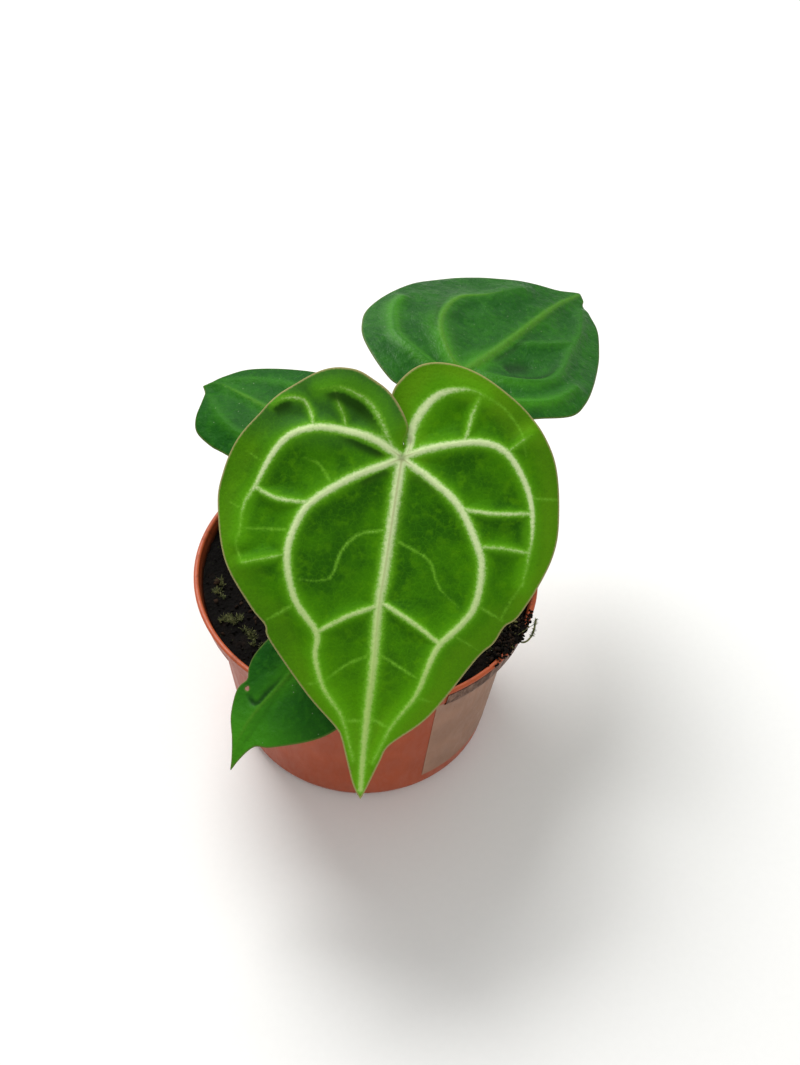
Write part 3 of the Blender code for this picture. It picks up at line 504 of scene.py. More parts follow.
def face_out(piece):
    """Turn every face of a closed mesh outwards."""
    shell = bmesh.new()
    shell.from_mesh(piece.data)
    bmesh.ops.recalc_face_normals(shell, faces=shell.faces)
    shell.to_mesh(piece.data)
    shell.free()


def turned(profile, steps):
    """Points and faces of a closed profile of (radius, height) points spun about Z."""
    points = []
    rows = []
    for radius, height in profile:
        if radius == 0.0:
            rows.append([len(points)] * steps)
            points.append((0.0, 0.0, height))
            continue
        rows.append(list(range(len(points), len(points) + steps)))
        for step in range(steps):
            turn = 2.0 * math.pi * step / steps
            points.append((radius * math.cos(turn), radius * math.sin(turn), height))
    faces = []
    for row, following in zip(rows, rows[1:] + rows[:1]):
        for step in range(steps):
            after = (step + 1) % steps
            face = list(dict.fromkeys((row[step], row[after], following[after], following[step])))
            if len(face) > 2:
                faces.append(face)
    return points, faces


def curve_through(points, step):
    """Points about one step apart on a smooth curve through the given ones."""
    spots = [np.array(p, float) for p in points]
    line = []
    for index in range(len(spots) - 1):
        p1 = spots[index]
        p2 = spots[index + 1]
        p0 = spots[index - 1] if index else p1 * 2.0 - p2
        p3 = spots[index + 2] if index + 2 < len(spots) else p2 * 2.0 - p1
        pieces = max(1, round(float(np.linalg.norm(p2 - p1)) / step))
        for piece in range(pieces):
            t = piece / pieces
            line.append(0.5 * (2.0 * p1 + (p2 - p0) * t + (2.0 * p0 - 5.0 * p1 + 4.0 * p2 - p3) * t * t
                               + (3.0 * p1 - 3.0 * p2 + p3 - p0) * t ** 3))
    line.append(spots[-1])
    return np.array(line)


def tube(line, girths, sides, last_way=None):
    """Points and faces of a closed round tube along a line, with a girth at each of its points."""
    points = []
    side = np.array([1.0, 0.0, 0.0])
    for index, here in enumerate(line):
        along = line[min(index + 1, len(line) - 1)] - line[max(index - 1, 0)]
        if last_way is not None and index == len(line) - 1:
            along = np.array(last_way)
        along = along / np.linalg.norm(along)
        side = side - along * side.dot(along)
        side = side / np.linalg.norm(side)
        other = np.cross(along, side)
        for step in range(sides):
            turn = 2.0 * math.pi * step / sides
            points.append(here + girths[index] * (side * math.cos(turn) + other * math.sin(turn)))
    faces = []
    for ring in range(len(line) - 1):
        low = ring * sides
        for step in range(sides):
            after = (step + 1) % sides
            faces.append((low + step, low + after, low + sides + after, low + sides + step))
    faces.append(tuple(range(sides - 1, -1, -1)))
    faces.append(tuple((len(line) - 1) * sides + step for step in range(sides)))
    return points, faces


# Blades

def inside(points, outline):
    """Which flat points lie within the closed outline."""
    found = np.zeros(len(points), bool)
    x, y = points[:, 0], points[:, 1]
    for here, after in zip(outline, np.roll(outline, -1, axis=0)):
        if here[1] == after[1]:
            continue
        crossing = (here[1] > y) != (after[1] > y)
        reach = here[0] + (y - here[1]) / (after[1] - here[1]) * (after[0] - here[0])
        found ^= crossing & (x < reach)
    return found


def distances(points, line):
    """Each flat point's distance to a polyline, how far along it is (0 to 1), and if it lies to its left."""
    best = np.full(len(points), 1e9)
    share = np.zeros(len(points))
    left = np.zeros(len(points), bool)
    spans = len(line) - 1
    for index in range(spans):
        start = line[index]
        along = line[index + 1] - start
        away = points - start
        t = np.clip((away @ along) / max(along @ along, 1e-9), 0.0, 1.0)
        gap = np.linalg.norm(away - t[:, None] * along, axis=1)
        nearer = gap < best
        best = np.where(nearer, gap, best)
        share = np.where(nearer, (index + t) / spans, share)
        left = np.where(nearer, along[0] * away[:, 1] - along[1] * away[:, 0] > 0.0, left)
    return best, share, left


def flat_tree(spots):
    """A search tree of flat points."""
    tree = kdtree.KDTree(len(spots))
    for number, spot in enumerate(spots):
        tree.insert((spot[0], spot[1], 0.0), number)
    tree.balance()
    return tree


def vein_rows(leaf, step):
    """Flat points along the veins, with a row on each side of all but the thinnest."""
    rows = []
    for kind in ("ribs", "branches", "threads"):
        for _, _, _, points in leaf[kind]:
            line = curve_through(points, step * 0.9)
            ways = np.gradient(line, axis=0)
            ways /= np.linalg.norm(ways, axis=1)[:, None]
            sides = np.stack([-ways[:, 1], ways[:, 0]], axis=1) * step * 0.8
            rows.append(line)
            if kind != "threads":
                rows += [line + sides, line - sides]
    return np.concatenate(rows)


def even_grid(outline, step):
    """A triangular grid of flat points over the outline's box, each nudged a little."""
    low = outline.min(axis=0)
    high = outline.max(axis=0)
    random.seed(SEED)
    grid = []
    for row in range(int((high[1] - low[1]) / (step * ROW_HEIGHT)) + 1):
        for column in range(int((high[0] - low[0]) / step) + 1):
            shift = step * 0.5 * (row % 2)
            grid.append((low[0] + column * step + shift + random.uniform(-0.05, 0.05),
                         low[1] + row * step * ROW_HEIGHT + random.uniform(-0.05, 0.05)))
    return np.array(grid)


def hole_ring(middle, radius):
    """Flat points round the uneven edge of a hole."""
    ring = []
    for corner in range(HOLE_SIDES):
        turn = 2.0 * math.pi * corner / HOLE_SIDES
        wobble = radius * (1.0 + 0.12 * math.sin(3.0 * turn))
        ring.append(middle + wobble * np.array([math.cos(turn), math.sin(turn)]))
    return ring


def blade_plan(leaf):
    """Flat points, triangles, borders and outline of a blade, with rows of points along its veins."""
    step = leaf["spacing"]
    right = curve_through(leaf["right"] + [leaf["tip"]], step)
    left = curve_through(leaf["left"] + [leaf["tip"]], step)
    outline = np.concatenate([right, left[-2::-1]])
    kept = flat_tree(outline)
    spots = []
    for batch, room in ((vein_rows(leaf, step), VEIN_ROOM), (even_grid(outline, step), GRID_ROOM)):
        fresh = [spot for spot in batch[inside(batch, outline)]
                 if kept.find((spot[0], spot[1], 0.0))[2] > step * room]
        if room == VEIN_ROOM:
            fresh = thin_out(fresh, step * 0.5)
        spots += fresh
        kept = flat_tree(list(outline) + spots)
    ring = []
    if leaf["hole"]:
        middle = np.array(leaf["hole"][:2])
        radius = leaf["hole"][2]
        spots = [spot for spot in spots if np.hypot(*(spot - middle)) > radius + 0.3]
        ring = hole_ring(middle, radius)
    first = len(outline)
    points = [Vector(p) for p in list(outline) + ring + spots]
    spans = [(first + corner, first + (corner + 1) % HOLE_SIDES) for corner in range(len(ring))]
    made = geometry.delaunay_2d_cdt(points, spans, [list(range(first))], 1, 1e-6)
    flat = np.array([tuple(p) for p in made[0]])
    loops = []
    for low_end, high_end in ((0, first), (first, first + len(ring))):
        loop = [index for index, source in enumerate(made[3])
                if any(low_end <= s < high_end for s in source)]
        loop.sort(key=lambda index: min(made[3][index]))
        if loop:
            loops.append(loop)
    triangles = made[2]
    if ring:
        middles = np.array([flat[list(face)].mean(axis=0) for face in triangles])
        outside = ~inside(middles, np.array(ring))
        triangles = [face for face, kept_face in zip(triangles, outside) if kept_face]
    return flat, triangles, loops, outline


def thin_out(spots, room):
    """Drop points that are closer than room to one already kept, by a grid of cells."""
    cells = {}
    kept = []
    for spot in spots:
        key = (int(spot[0] // room), int(spot[1] // room))
        near = [p for i in (-1, 0, 1) for j in (-1, 0, 1) for p in cells.get((key[0] + i, key[1] + j), ())]
        if all(np.hypot(*(spot - p)) >= room for p in near):
            cells.setdefault(key, []).append(spot)
            kept.append(spot)
    return kept


def fold_field(leaf, flat):
    """How deep in shadow a flat point lies beside the sharp folds, from 0 to 1."""
    field = np.zeros(len(flat))
    for strength, left_width, right_width, points in leaf["folds"]:
        near, share, left = distances(flat, curve_through(points, 1.2))
        ends = smooth(share / 0.2) * smooth((1.0 - share) / 0.55)
        width = np.where(left, left_width, right_width)
        field = np.maximum(field, strength * ends * np.exp(-(near / width) ** 2))
    return field


def vein_field(leaf, flat, kind):
    """For one kind of vein: how pale it makes each point (0 to 1), ridge heights and distances."""
    field = np.zeros(len(flat))
    ridge = np.zeros(len(flat))
    gap = np.full(len(flat), 1e9)
    for start, end, height, points in leaf[kind]:
        near, share, _ = distances(flat, curve_through(points, 1.2))
        width = start + (end - start) * share ** 2
        fading = smooth((share - FADE_FROM) / (1.0 - FADE_FROM))
        first = min(1.0, start / FULL_START)
        strength = first + (min(first, end / FULL_END) - first) * fading
        field = np.maximum(field, strength * np.exp(-(near / (width * 0.85 + SOFT_EDGE)) ** 2))
        hill = np.maximum(width * 0.6, LEAST_RIDGE)
        ridge = np.maximum(ridge, height * (1.0 - 0.6 * share) * np.exp(-(near / hill) ** 2))
        gap = np.minimum(gap, near)
    return field, ridge, gap


def leaf_ways(leaf):
    """The blade's right, tip and face directions."""
    heading, droop, roll = (math.radians(leaf[key]) for key in ("heading", "droop", "roll"))
    tip = np.array([math.cos(heading) * math.cos(droop), math.sin(heading) * math.cos(droop),
                    -math.sin(droop)])
    level = np.array([-math.sin(heading), math.cos(heading), 0.0])
    right = level * math.cos(roll) + np.cross(tip, level) * math.sin(roll)
    return right, tip, np.cross(tip, right)


def place_blade(leaf, flat, gap, ridge):
    """Where flat points go: lobes swung together, blade arched and dished, then turned into place."""
    u, v = flat[:, 0], flat[:, 1]
    reach = np.hypot(u, v)
    angle = np.arctan2(u, v)
    swing = smooth((np.abs(angle) - LOBE_FROM) / (math.pi - LOBE_FROM))
    swing *= smooth((reach - SINUS_START) / (SINUS_FULL - SINUS_START))
    angle = angle + np.sign(angle) * math.radians(leaf["lobe_swing"]) * swing
    lift = -np.sign(u) * leaf["lobe_lift"] * swing
    width = max(abs(p[0]) for p in leaf["right"] + leaf["left"])
    length = leaf["tip"][1]
    across = np.minimum(np.abs(u) / width, 1.0)
    lift += leaf["arch"] * np.sin(math.pi * across) - leaf["side_drop"] * across ** 3
    lift -= leaf["tip_drop"] * np.maximum(v / length, 0.0) ** 2
    lift -= leaf["back_drop"] * np.maximum(-v / (length * 0.25), 0.0) ** 2
    lift += leaf["wave"] * np.sin(leaf["waves"] * angle + 1.0) * np.minimum(reach / width, 1.2) ** 3
    lift -= leaf["quilt"] * (1.0 - np.exp(-(gap / QUILT_REACH) ** 2)) - ridge
    for dent_u, dent_v, size, depth in leaf["dents"]:
        lift -= depth * np.exp(-((u - dent_u) ** 2 + (v - dent_v) ** 2) / size ** 2)
    right, tip, face = leaf_ways(leaf)
    x = reach * np.sin(angle)
    y = reach * np.cos(angle)
    return np.array(leaf["attach"]) + x[:, None] * right + y[:, None] * tip + lift[:, None] * face, face


def crinkle(flat, size, seed):
    """A fine uneven relief over flat points, between -1 and 1."""
    return np.array([noise.noise((u / size, v / size, seed)) for u, v in flat])


def edge_ways(loop, outline):
    """Flat directions out of the blade along a border; with no outline the border is a round hole."""
    if outline is None:
        ways = loop.mean(axis=0) - loop
    else:
        along = np.roll(loop, -1, axis=0) - np.roll(loop, 1, axis=0)
        ways = np.stack([along[:, 1], -along[:, 0]], axis=1)
    ways = ways / np.linalg.norm(ways, axis=1)[:, None]
    if outline is not None and inside(loop + ways * 0.1, outline).mean() > 0.5:
        ways = -ways
    return ways


def make_blade(node, name, finish, thickness, crinkle_depth):
    """One blade: fine triangles on both faces and a rounded edge between them."""
    leaf = LEAVES[node]
    flat, triangles, loops, outline = blade_plan(leaf)
    ribs, rib_ridge, rib_gap = vein_field(leaf, flat, "ribs")
    branches, branch_ridge, branch_gap = vein_field(leaf, flat, "branches")
    threads, _, _ = vein_field(leaf, flat, "threads")
    folds = fold_field(leaf, flat)
    rim, _, _ = distances(flat, np.concatenate([outline, outline[:1]]))
    if leaf["hole"]:
        hole_u, hole_v, radius = leaf["hole"]
        rim = np.minimum(rim, np.maximum(np.hypot(flat[:, 0] - hole_u, flat[:, 1] - hole_v) - radius, 0.0))
    gap = np.minimum(rib_gap, branch_gap * 1.6)
    ridge = np.maximum(rib_ridge, branch_ridge)
    seed = float(sum(ord(letter) for letter in node))
    wrinkle = crinkle(flat, 2.4, seed) * 0.6 + crinkle(flat, 6.0, seed + 5.0)
    ridge = ridge + crinkle_depth * wrinkle * smooth(gap / 2.0) * smooth(rim / 3.0) - FOLD_DEPTH * folds
    top, face = place_blade(leaf, flat, gap, ridge)
    depth = thickness * (0.55 + 0.45 * smooth(rim / 4.0)) + np.maximum(rib_ridge, branch_ridge) * 2.2
    under = top - depth[:, None] * face
    count = len(flat)
    rounds = [top, under]
    faces = [(c, b, a) for a, b, c in triangles]
    faces += [(count + a, count + b, count + c) for a, b, c in triangles]
    total = 2 * count
    for number, border in enumerate(loops):
        loop = np.array(border)
        outer = flat[loop] + edge_ways(flat[loop], outline if number == 0 else None) * EDGE_ROUND
        middle, _ = place_blade(leaf, outer, gap[loop], ridge[loop])
        rounds.append(middle - (depth[loop] * 0.5)[:, None] * face)
        for index in range(len(loop)):
            after = (index + 1) % len(loop)
            faces.append((loop[index], loop[after], total + after, total + index))
            faces.append((total + index, total + after, count + loop[after], count + loop[index]))
        total += len(loop)
    points = np.concatenate(rounds)
    edge = np.concatenate([np.array(border) for border in loops])
    blade = add_piece(name, points, [tuple(int(c) for c in f) for f in faces], [finish], node)
    face_out(blade)
    for key, values in (("rib", ribs), ("minor", np.maximum(branches, threads)), ("vein_gap", gap),
                        ("fold", folds), ("across", flat[:, 0]), ("along", flat[:, 1])):
        store(blade, key, np.concatenate([values, values, values[edge]]))
    store(blade, "rim", np.concatenate([rim, rim, np.zeros(len(edge))]))
    store(blade, "under", np.concatenate([np.zeros(count), np.ones(count), np.full(len(edge), 0.5)]))


def feathered(board, vein, ragged):
    """A vein's paleness with an uneven edge."""
    return board.plus(vein, board.times(ragged, board.ease(vein, 0.0, 0.25)))


def with_underside(board, colour, look):
    """The colour on top, and a pale matt one with its own ribs below."""
    below = board.mix(board.ease(board.attribute("rib"), 0.3, 0.8), look.under, look.under_vein)
    return board.mix(board.ease(board.attribute("under"), 0.5, 0.95), colour, below)


def young_panel(board, look, place, fine):
    """Greens between the veins, fresher to the tip and yellower outside, and the net of tiny veins."""
    along = board.attribute("along")
    across = board.attribute("across")
    cloud = board.noise(place, 0.075, 3.0, 0.5)
    patch = board.noise(place, 0.28, 4.0, 0.6)
    panel = board.mix(board.ease(cloud, 0.36, 0.60), look.deep, look.panel)
    panel = board.mix(board.ease(patch, 0.47, 0.70, 0.0, 0.6), panel, look.bright)
    panel = board.mix(board.ease(patch, 0.42, 0.28, 0.0, 0.6), panel, look.deep)
    panel = board.mix(board.ease(along, 40.0, 85.0, 0.0, 0.6), panel, look.bright)
    panel = board.mix(board.ease(along, 76.0, 98.0, 0.0, 0.7), panel, look.tip)
    # Painted shade: the left back lobe turns away from the light, so it is darkened and kept out of the
    # outer band.
    lobe_shade = board.times(board.ease(across, -1.0, -7.0), board.ease(along, 3.0, -8.0))
    panel = board.mix(board.times(lobe_shade, 0.9), panel, look.lobe_shade)
    band_place = board.plus(board.attribute("rim"), board.sway(cloud, 14.0))
    band = board.ease(band_place, 11.0, 2.0, 0.0, 0.9)
    left_half = board.ease(across, -8.0, 4.0, 0.6, 1.0)
    band = board.times(band, board.minus(1.0, board.times(lobe_shade, 0.85)))
    panel = board.mix(board.times(band, left_half), panel, look.band)
    gap = board.plus(board.attribute("vein_gap"), board.sway(patch, 3.0))
    # Painted shade in the middles of the dished panels, and painted light on their raised edges beside the
    # veins.
    panel = board.mix(board.ease(gap, 4.5, 10.0, 0.0, 0.3), panel, look.deep)
    panel = board.mix(board.ease(gap, 4.5, 0.8, 0.0, 0.55), panel, look.glow)
    net = board.cells(place, 0.55, "DISTANCE_TO_EDGE")
    panel = board.mix(board.ease(net, 0.07, 0.0, 0.0, 0.16), panel, look.glow)
    panel = board.mix(board.ease(fine, 0.56, 0.78, 0.0, 0.22), panel, look.glow)
    return board.mix(board.ease(fine, 0.44, 0.25, 0.0, 0.35), panel, look.deep), net


def young_blade_finish(name, look):
    """Velvety green with whitish feathered veins, a yellower outer band and a pinkish margin."""
    board = Board(name)
    place = board.place()
    along = board.attribute("along")
    across = board.attribute("across")
    feather = board.noise(place, 0.9, 4.0, 0.7)
    fine = board.noise(place, 2.0, 3.0, 0.6)
    panel, net = young_panel(board, look, place, fine)
    vein = board.calc("MAXIMUM", board.attribute("rib"), board.attribute("minor"))
    vein = feathered(board, vein, board.plus(board.sway(feather, 0.65), board.sway(fine, 0.45)))
    colour = board.mix(board.ease(vein, 0.04, 0.6, 0.0, 0.9), panel, look.vein_soft)
    pale = board.mix(board.ease(along, 15.0, 75.0), look.vein, look.vein_low)
    colour = board.mix(board.ease(vein, 0.38, 1.0, 0.0, 0.97), colour, pale)
    line = board.times(board.ease(board.attribute("rib"), 0.94, 0.995, 0.0, 0.4),
                       board.ease(along, 80.0, 10.0, 0.2, 1.0))
    line = board.times(line, board.ease(board.calc("ABSOLUTE", across), 5.0, 1.5))
    colour = board.mix(line, colour, look.vein_core)
    # Painted shadow beside the folds.
    colour = board.mix(board.ease(board.attribute("fold"), 0.1, 0.9, 0.0, 0.85), colour, look.shade)
    heart = board.reach(across, along)
    colour = board.mix(board.ease(heart, 2.0, 0.3, 0.0, 0.5), colour, look.heart)
    edge = board.plus(board.attribute("rim"), board.times(fine, 0.6))
    margin = board.times(board.ease(edge, 0.85, 0.3, 0.0, 0.75), board.ease(heart, 5.0, 15.0, 0.1, 1.0))
    colour = with_underside(board, board.mix(margin, colour, look.margin), look)
    board.bump(board.plus(board.times(net, 0.6), board.times(feather, 0.9)), 0.45, 0.45)
    return board.finish(colour, board.ease(fine, 0.3, 0.7, 0.55, 0.7), Specular_IOR_Level=0.05,
                        Sheen_Weight=0.03, Sheen_Roughness=0.4, Sheen_Tint=(0.6, 0.9, 0.3, 1.0))


def old_blade_finish(name, look, gloss, shine, fresh):
    """Satin dark green, finely wrinkled, with soft yellowish veins, a little dust and a fresher tip."""
    board = Board(name)
    place = board.place()
    along = board.attribute("along")
    fine = board.noise(place, 1.1, 4.0, 0.65)
    cloud = board.noise(place, 0.06, 3.0, 0.55)
    wrinkle = board.noise(place, 0.42, 4.0, 0.6)
    panel = board.mix(board.ease(cloud, 0.38, 0.62), look.deep, look.panel)
    # Painted light on the wrinkles' crests and painted shade in their hollows, from the same pattern as
    # their bump.
    panel = board.mix(board.ease(wrinkle, 0.50, 0.66, 0.0, 0.4), panel, look.bright)
    panel = board.mix(board.ease(wrinkle, 0.47, 0.34, 0.0, 0.6), panel, look.deep)
    panel = board.mix(board.ease(along, 12.0, 34.0, 0.0, fresh), panel, look.glow)
    gap = board.attribute("vein_gap")
    halo = board.times(board.ease(gap, 5.0, 0.5, 0.0, 0.4), board.ease(along, 70.0, 5.0, 0.35, 1.0))
    joint = board.times(board.ease(along, 26.0, 4.0, 0.0, 0.5), board.ease(gap, 9.0, 1.0))
    colour = board.mix(board.plus(halo, joint), panel, look.glow)
    ragged = board.sway(fine, 0.8)
    rib = feathered(board, board.attribute("rib"), ragged)
    colour = board.mix(board.ease(rib, 0.15, 1.0, 0.0, 0.9), colour, look.vein)
    minor = feathered(board, board.attribute("minor"), ragged)
    colour = board.mix(board.ease(minor, 0.1, 1.0, 0.0, 0.75), colour, look.vein_dim)
    # Painted shadow beside the folds.
    colour = board.mix(board.ease(board.attribute("fold"), 0.1, 0.9, 0.0, 0.85), colour, look.shade)
    dust = board.ease(board.cells(place, 0.30), 0.075, 0.03, 0.0, 0.35)
    colour = board.mix(dust, colour, look.dust)
    colour = board.mix(board.ease(board.attribute("rim"), 0.45, 0.1, 0.0, 0.6), colour, look.margin)
    colour = with_underside(board, colour, look)
    board.bump(board.plus(wrinkle, board.times(fine, 0.3)), 0.6, 0.9)
    return board.finish(colour, board.ease(fine, 0.3, 0.7, gloss, gloss + 0.12), Specular_IOR_Level=shine)


class PLANT_PG_young_blade(bpy.types.PropertyGroup):
    """Colours and thickness of the young blade"""
    # Darkest green in patches, and painted shade in the middles of the dished panels.
    deep: colour_property("Deep panel", "Darkest green between the veins", (0.14, 0.34, 0.01))
    panel: colour_property("Panel", "Green between the veins", (0.22, 0.45, 0.0))
    bright: colour_property("Bright panel", "Lighter green patches", (0.30, 0.53, 0.0))
    tip: colour_property("Tip", "Paler green of the drawn-out tip", (0.47, 0.62, 0.14))
    # Painted shade on the left back lobe, which turns away from the light.
    lobe_shade: colour_property("Back lobe", "Dark green of the left lobe", (0.20, 0.39, 0.13))
    band: colour_property("Outer band", "Yellower green near the margin", (0.33, 0.53, 0.03))
    # Green of the net of tiny veins and fine flecks, and painted light where the dished panels rise to the
    # veins.
    glow: colour_property("Beside veins", "Fresh green beside each vein", (0.33, 0.60, 0.03))
    vein: colour_property("Vein", "Whitish middle of the veins", (0.80, 0.87, 0.64))
    vein_low: colour_property("Vein low", "Greener middle of the veins near the tip", (0.65, 0.77, 0.42))
    vein_soft: colour_property("Vein edge", "Soft edge of the veins", (0.42, 0.66, 0.15))
    vein_core: colour_property("Vein line", "Thin line along a vein's middle", (0.58, 0.54, 0.36))
    shade: colour_property("Fold", "Dark green deep in the folds", (0.09, 0.21, 0.04))
    heart: colour_property("Stalk joint", "Dark dimple over the stalk", (0.24, 0.28, 0.08))
    margin: colour_property("Margin", "Thin pinkish edge", (0.64, 0.58, 0.40))
    under: colour_property("Underside", "Pale matt underside", (0.45, 0.58, 0.30))
    under_vein: colour_property("Underside vein", "Ribs seen from below", (0.60, 0.66, 0.42))
    thickness: FloatProperty(name="Thickness", description="Blade thickness", default=0.00075,
                             min=0.0003, unit="LENGTH")
    crinkle: FloatProperty(name="Crinkle", description="Fine relief between veins", default=0.0001,
                           min=0.0, unit="LENGTH")


class PLANT_PG_old_blade(bpy.types.PropertyGroup):
    """Colours and thickness of the older blades"""
    # Darkest green in patches, and painted shade in the hollows of the wrinkles.
    deep: colour_property("Deep panel", "Darkest green", (0.05, 0.30, 0.01))
    panel: colour_property("Panel", "Green between the veins", (0.10, 0.35, 0.02))
    # Painted light on the crests of the wrinkles.
    bright: colour_property("Bright panel", "Lighter wrinkles", (0.16, 0.42, 0.03))
    glow: colour_property("Beside veins", "Fresh green beside each vein", (0.22, 0.50, 0.03))
    vein: colour_property("Vein", "Soft yellowish vein", (0.27, 0.49, 0.08))
    vein_dim: colour_property("Small vein", "Faint smaller vein", (0.15, 0.40, 0.04))
    shade: colour_property("Fold", "Dark green deep in the folds", (0.03, 0.20, 0.02))
    dust: colour_property("Dust", "Pale specks of dust", (0.70, 0.74, 0.62))
    margin: colour_property("Margin", "Thin edge", (0.36, 0.42, 0.17))
    under: colour_property("Underside", "Pale matt underside", (0.38, 0.52, 0.28))
    under_vein: colour_property("Underside vein", "Ribs seen from below", (0.55, 0.62, 0.38))
    thickness: FloatProperty(name="Thickness", description="Blade thickness", default=0.00075,
                             min=0.0003, unit="LENGTH")
    crinkle: FloatProperty(name="Crinkle", description="Fine relief between veins", default=0.0003,
                           min=0.0, unit="LENGTH")


class PLANT_PG_stalks(bpy.types.PropertyGroup):
    """Colours and fineness of the stalks"""
    low: colour_property("Foot", "Stalk colour near the soil", (0.40, 0.36, 0.20))
    high: colour_property("Top", "Stalk colour under the blade", (0.48, 0.58, 0.28))
    sheath: colour_property("Old sheath", "Papery brown round the short stem", (0.45, 0.34, 0.20))
    sides: IntProperty(name="Sides", description="Sides of a stalk", default=20, min=8)


class PLANT_PG_pot(bpy.types.PropertyGroup):
    """Colours of the pot, and where its sticker lies"""
    clay: colour_property("Plastic", "Moulded terracotta-coloured plastic", (0.60, 0.26, 0.13))
    # Paler plastic in patches, and painted light on the top of the lip.
    pale_and_lit: colour_property("Worn edge", "Paler plastic on the lip", (0.72, 0.33, 0.17))
    # Soil dust near the top; the same colour also darkens the step at the collar's foot and the inner wall.
    dirt: colour_property("Dirt", "Soil dust in the step and on the lip", (0.22, 0.13, 0.08))
    sticker: colour_property("Sticker", "Plain film on the wall", (0.61, 0.47, 0.39))
    steps: IntProperty(name="Steps", description="Steps round the pot", default=168, min=48)
    label_start: FloatProperty(name="Sticker start", description="Angle where the sticker starts",
                               subtype="ANGLE", default=math.radians(-62))
    label_end: FloatProperty(name="Sticker end", description="Angle where the sticker ends",
                             subtype="ANGLE", default=math.radians(12))


class PLANT_PG_soil(bpy.types.PropertyGroup):
    """Colours of the soil, its crumbs and its moss"""
    dark: colour_property("Peat", "Moist dark mix", (0.035, 0.026, 0.022))
    light: colour_property("Dry peat", "Drier crumbs", (0.09, 0.068, 0.052))
    bark: colour_property("Bark", "Bark bits", (0.18, 0.12, 0.08))
    moss: colour_property("Moss", "Moss tufts", (0.26, 0.29, 0.12))
    straw: colour_property("Moss tips", "Pale dry moss tips", (0.50, 0.50, 0.30))
    crumbs: IntProperty(name="Crumbs", description="Loose crumbs on the soil", default=2200, min=0)
    tufts: IntProperty(name="Moss tufts", description="Tufts of moss on the soil", default=46, min=0)


class PLANT_PG_stage(bpy.types.PropertyGroup):
    """The floor, the light and the camera"""
    floor: colour_property("Floor", "Pale floor", (0.93, 0.93, 0.92))
    light: FloatProperty(name="Light", description="Power of the big soft light", default=15.0, min=0.0,
                         unit="POWER")
    fill: FloatProperty(name="Fill", description="Strength of the pale surroundings", default=0.55, min=0.0)
    eye: FloatVectorProperty(name="Camera", description="Where the camera stands", size=3,
                             subtype="TRANSLATION", unit="LENGTH", default=(0.0, -0.2994, 0.4100))
    target: FloatVectorProperty(name="Target", description="Where the camera looks", size=3,
                                subtype="TRANSLATION", unit="LENGTH", default=(0.0112, 0.0091, 0.0825))
    tilt: FloatProperty(name="Tilt", description="Roll of the camera", subtype="ANGLE",
                        default=math.radians(3.5))
    lens_mm: FloatProperty(name="Lens", description="Focal length on a 36 mm sensor", default=43.5,
                           min=10.0, unit="CAMERA")


class PLANT_OT_blades(bpy.types.Operator):
    """Build the four blades with their veins"""
    bl_idname = "plant.blades"
    bl_label = "Blades"

    def execute(self, context):
        young = context.scene.plant_young_blade
        old = context.scene.plant_old_blade
        make_blade("leaf_main", "blade_main", young_blade_finish("young_blade", young),
                   young.thickness / MM, young.crinkle / MM)
        for node, (name, gloss, shine, fresh) in OLD_BLADES.items():
            make_blade(node, name, old_blade_finish(name + "_finish", old, gloss, shine, fresh),
                       old.thickness / MM, old.crinkle / MM)
        return {"FINISHED"}


def stalk_line(name):
    """Points from the soil up to just under the blade, and the way the top ends."""
    node, root, _, bow = STALKS[name]
    leaf = LEAVES[node]
    spot, face = place_blade(leaf, np.array([[0.0, 0.6]]), np.zeros(1), np.zeros(1))
    end = spot[0] - face * (CAD_BLADE + JOINT_DEPTH + STALK_GAP)
    foot = np.array([root[0], root[1], SOIL_TOP - HOLE_DEPTH + FOOT_GAP])
    mouth = np.array([root[0], root[1], SOIL_TOP - 2.0])
    collar = np.array([root[0], root[1], SOIL_TOP + 9.0])
    outward = np.array([end[0] - foot[0], end[1] - foot[1], 0.0])
    outward /= np.linalg.norm(outward)
    rise = face * 0.8 + outward * 0.4 + np.array([0.0, 0.0, 0.2])
    below = end - rise / np.linalg.norm(rise) * JOINT_LENGTH
    middle = (collar + below) / 2.0 + np.array(bow)
    return curve_through([foot, mouth, collar, middle, below, end + face * 0.9], 1.5), face


def stalk_finish(look):
    """Satin skin, brownish at the foot and green at the top, with fine streaks and specks."""
    board = Board("stalk_skin")
    place = board.place((1.0, 1.0, 0.25))
    streak = board.noise(place, 1.2, 4.0, 0.6)
    speck = board.noise(board.place(), 2.6, 3.0, 0.6)
    height = board.attribute("share")
    colour = board.mix(board.ease(height, 0.1, 0.75), look.low, look.high)
    colour = board.mix(board.ease(streak, 0.45, 0.7, 0.0, 0.4), colour, look.high)
    colour = board.mix(board.ease(speck, 0.62, 0.75, 0.0, 0.5), colour, look.low)
    board.bump(streak, 0.25, 0.3)
    return board.finish(colour, board.ease(speck, 0.3, 0.7, 0.42, 0.58), Specular_IOR_Level=0.4)


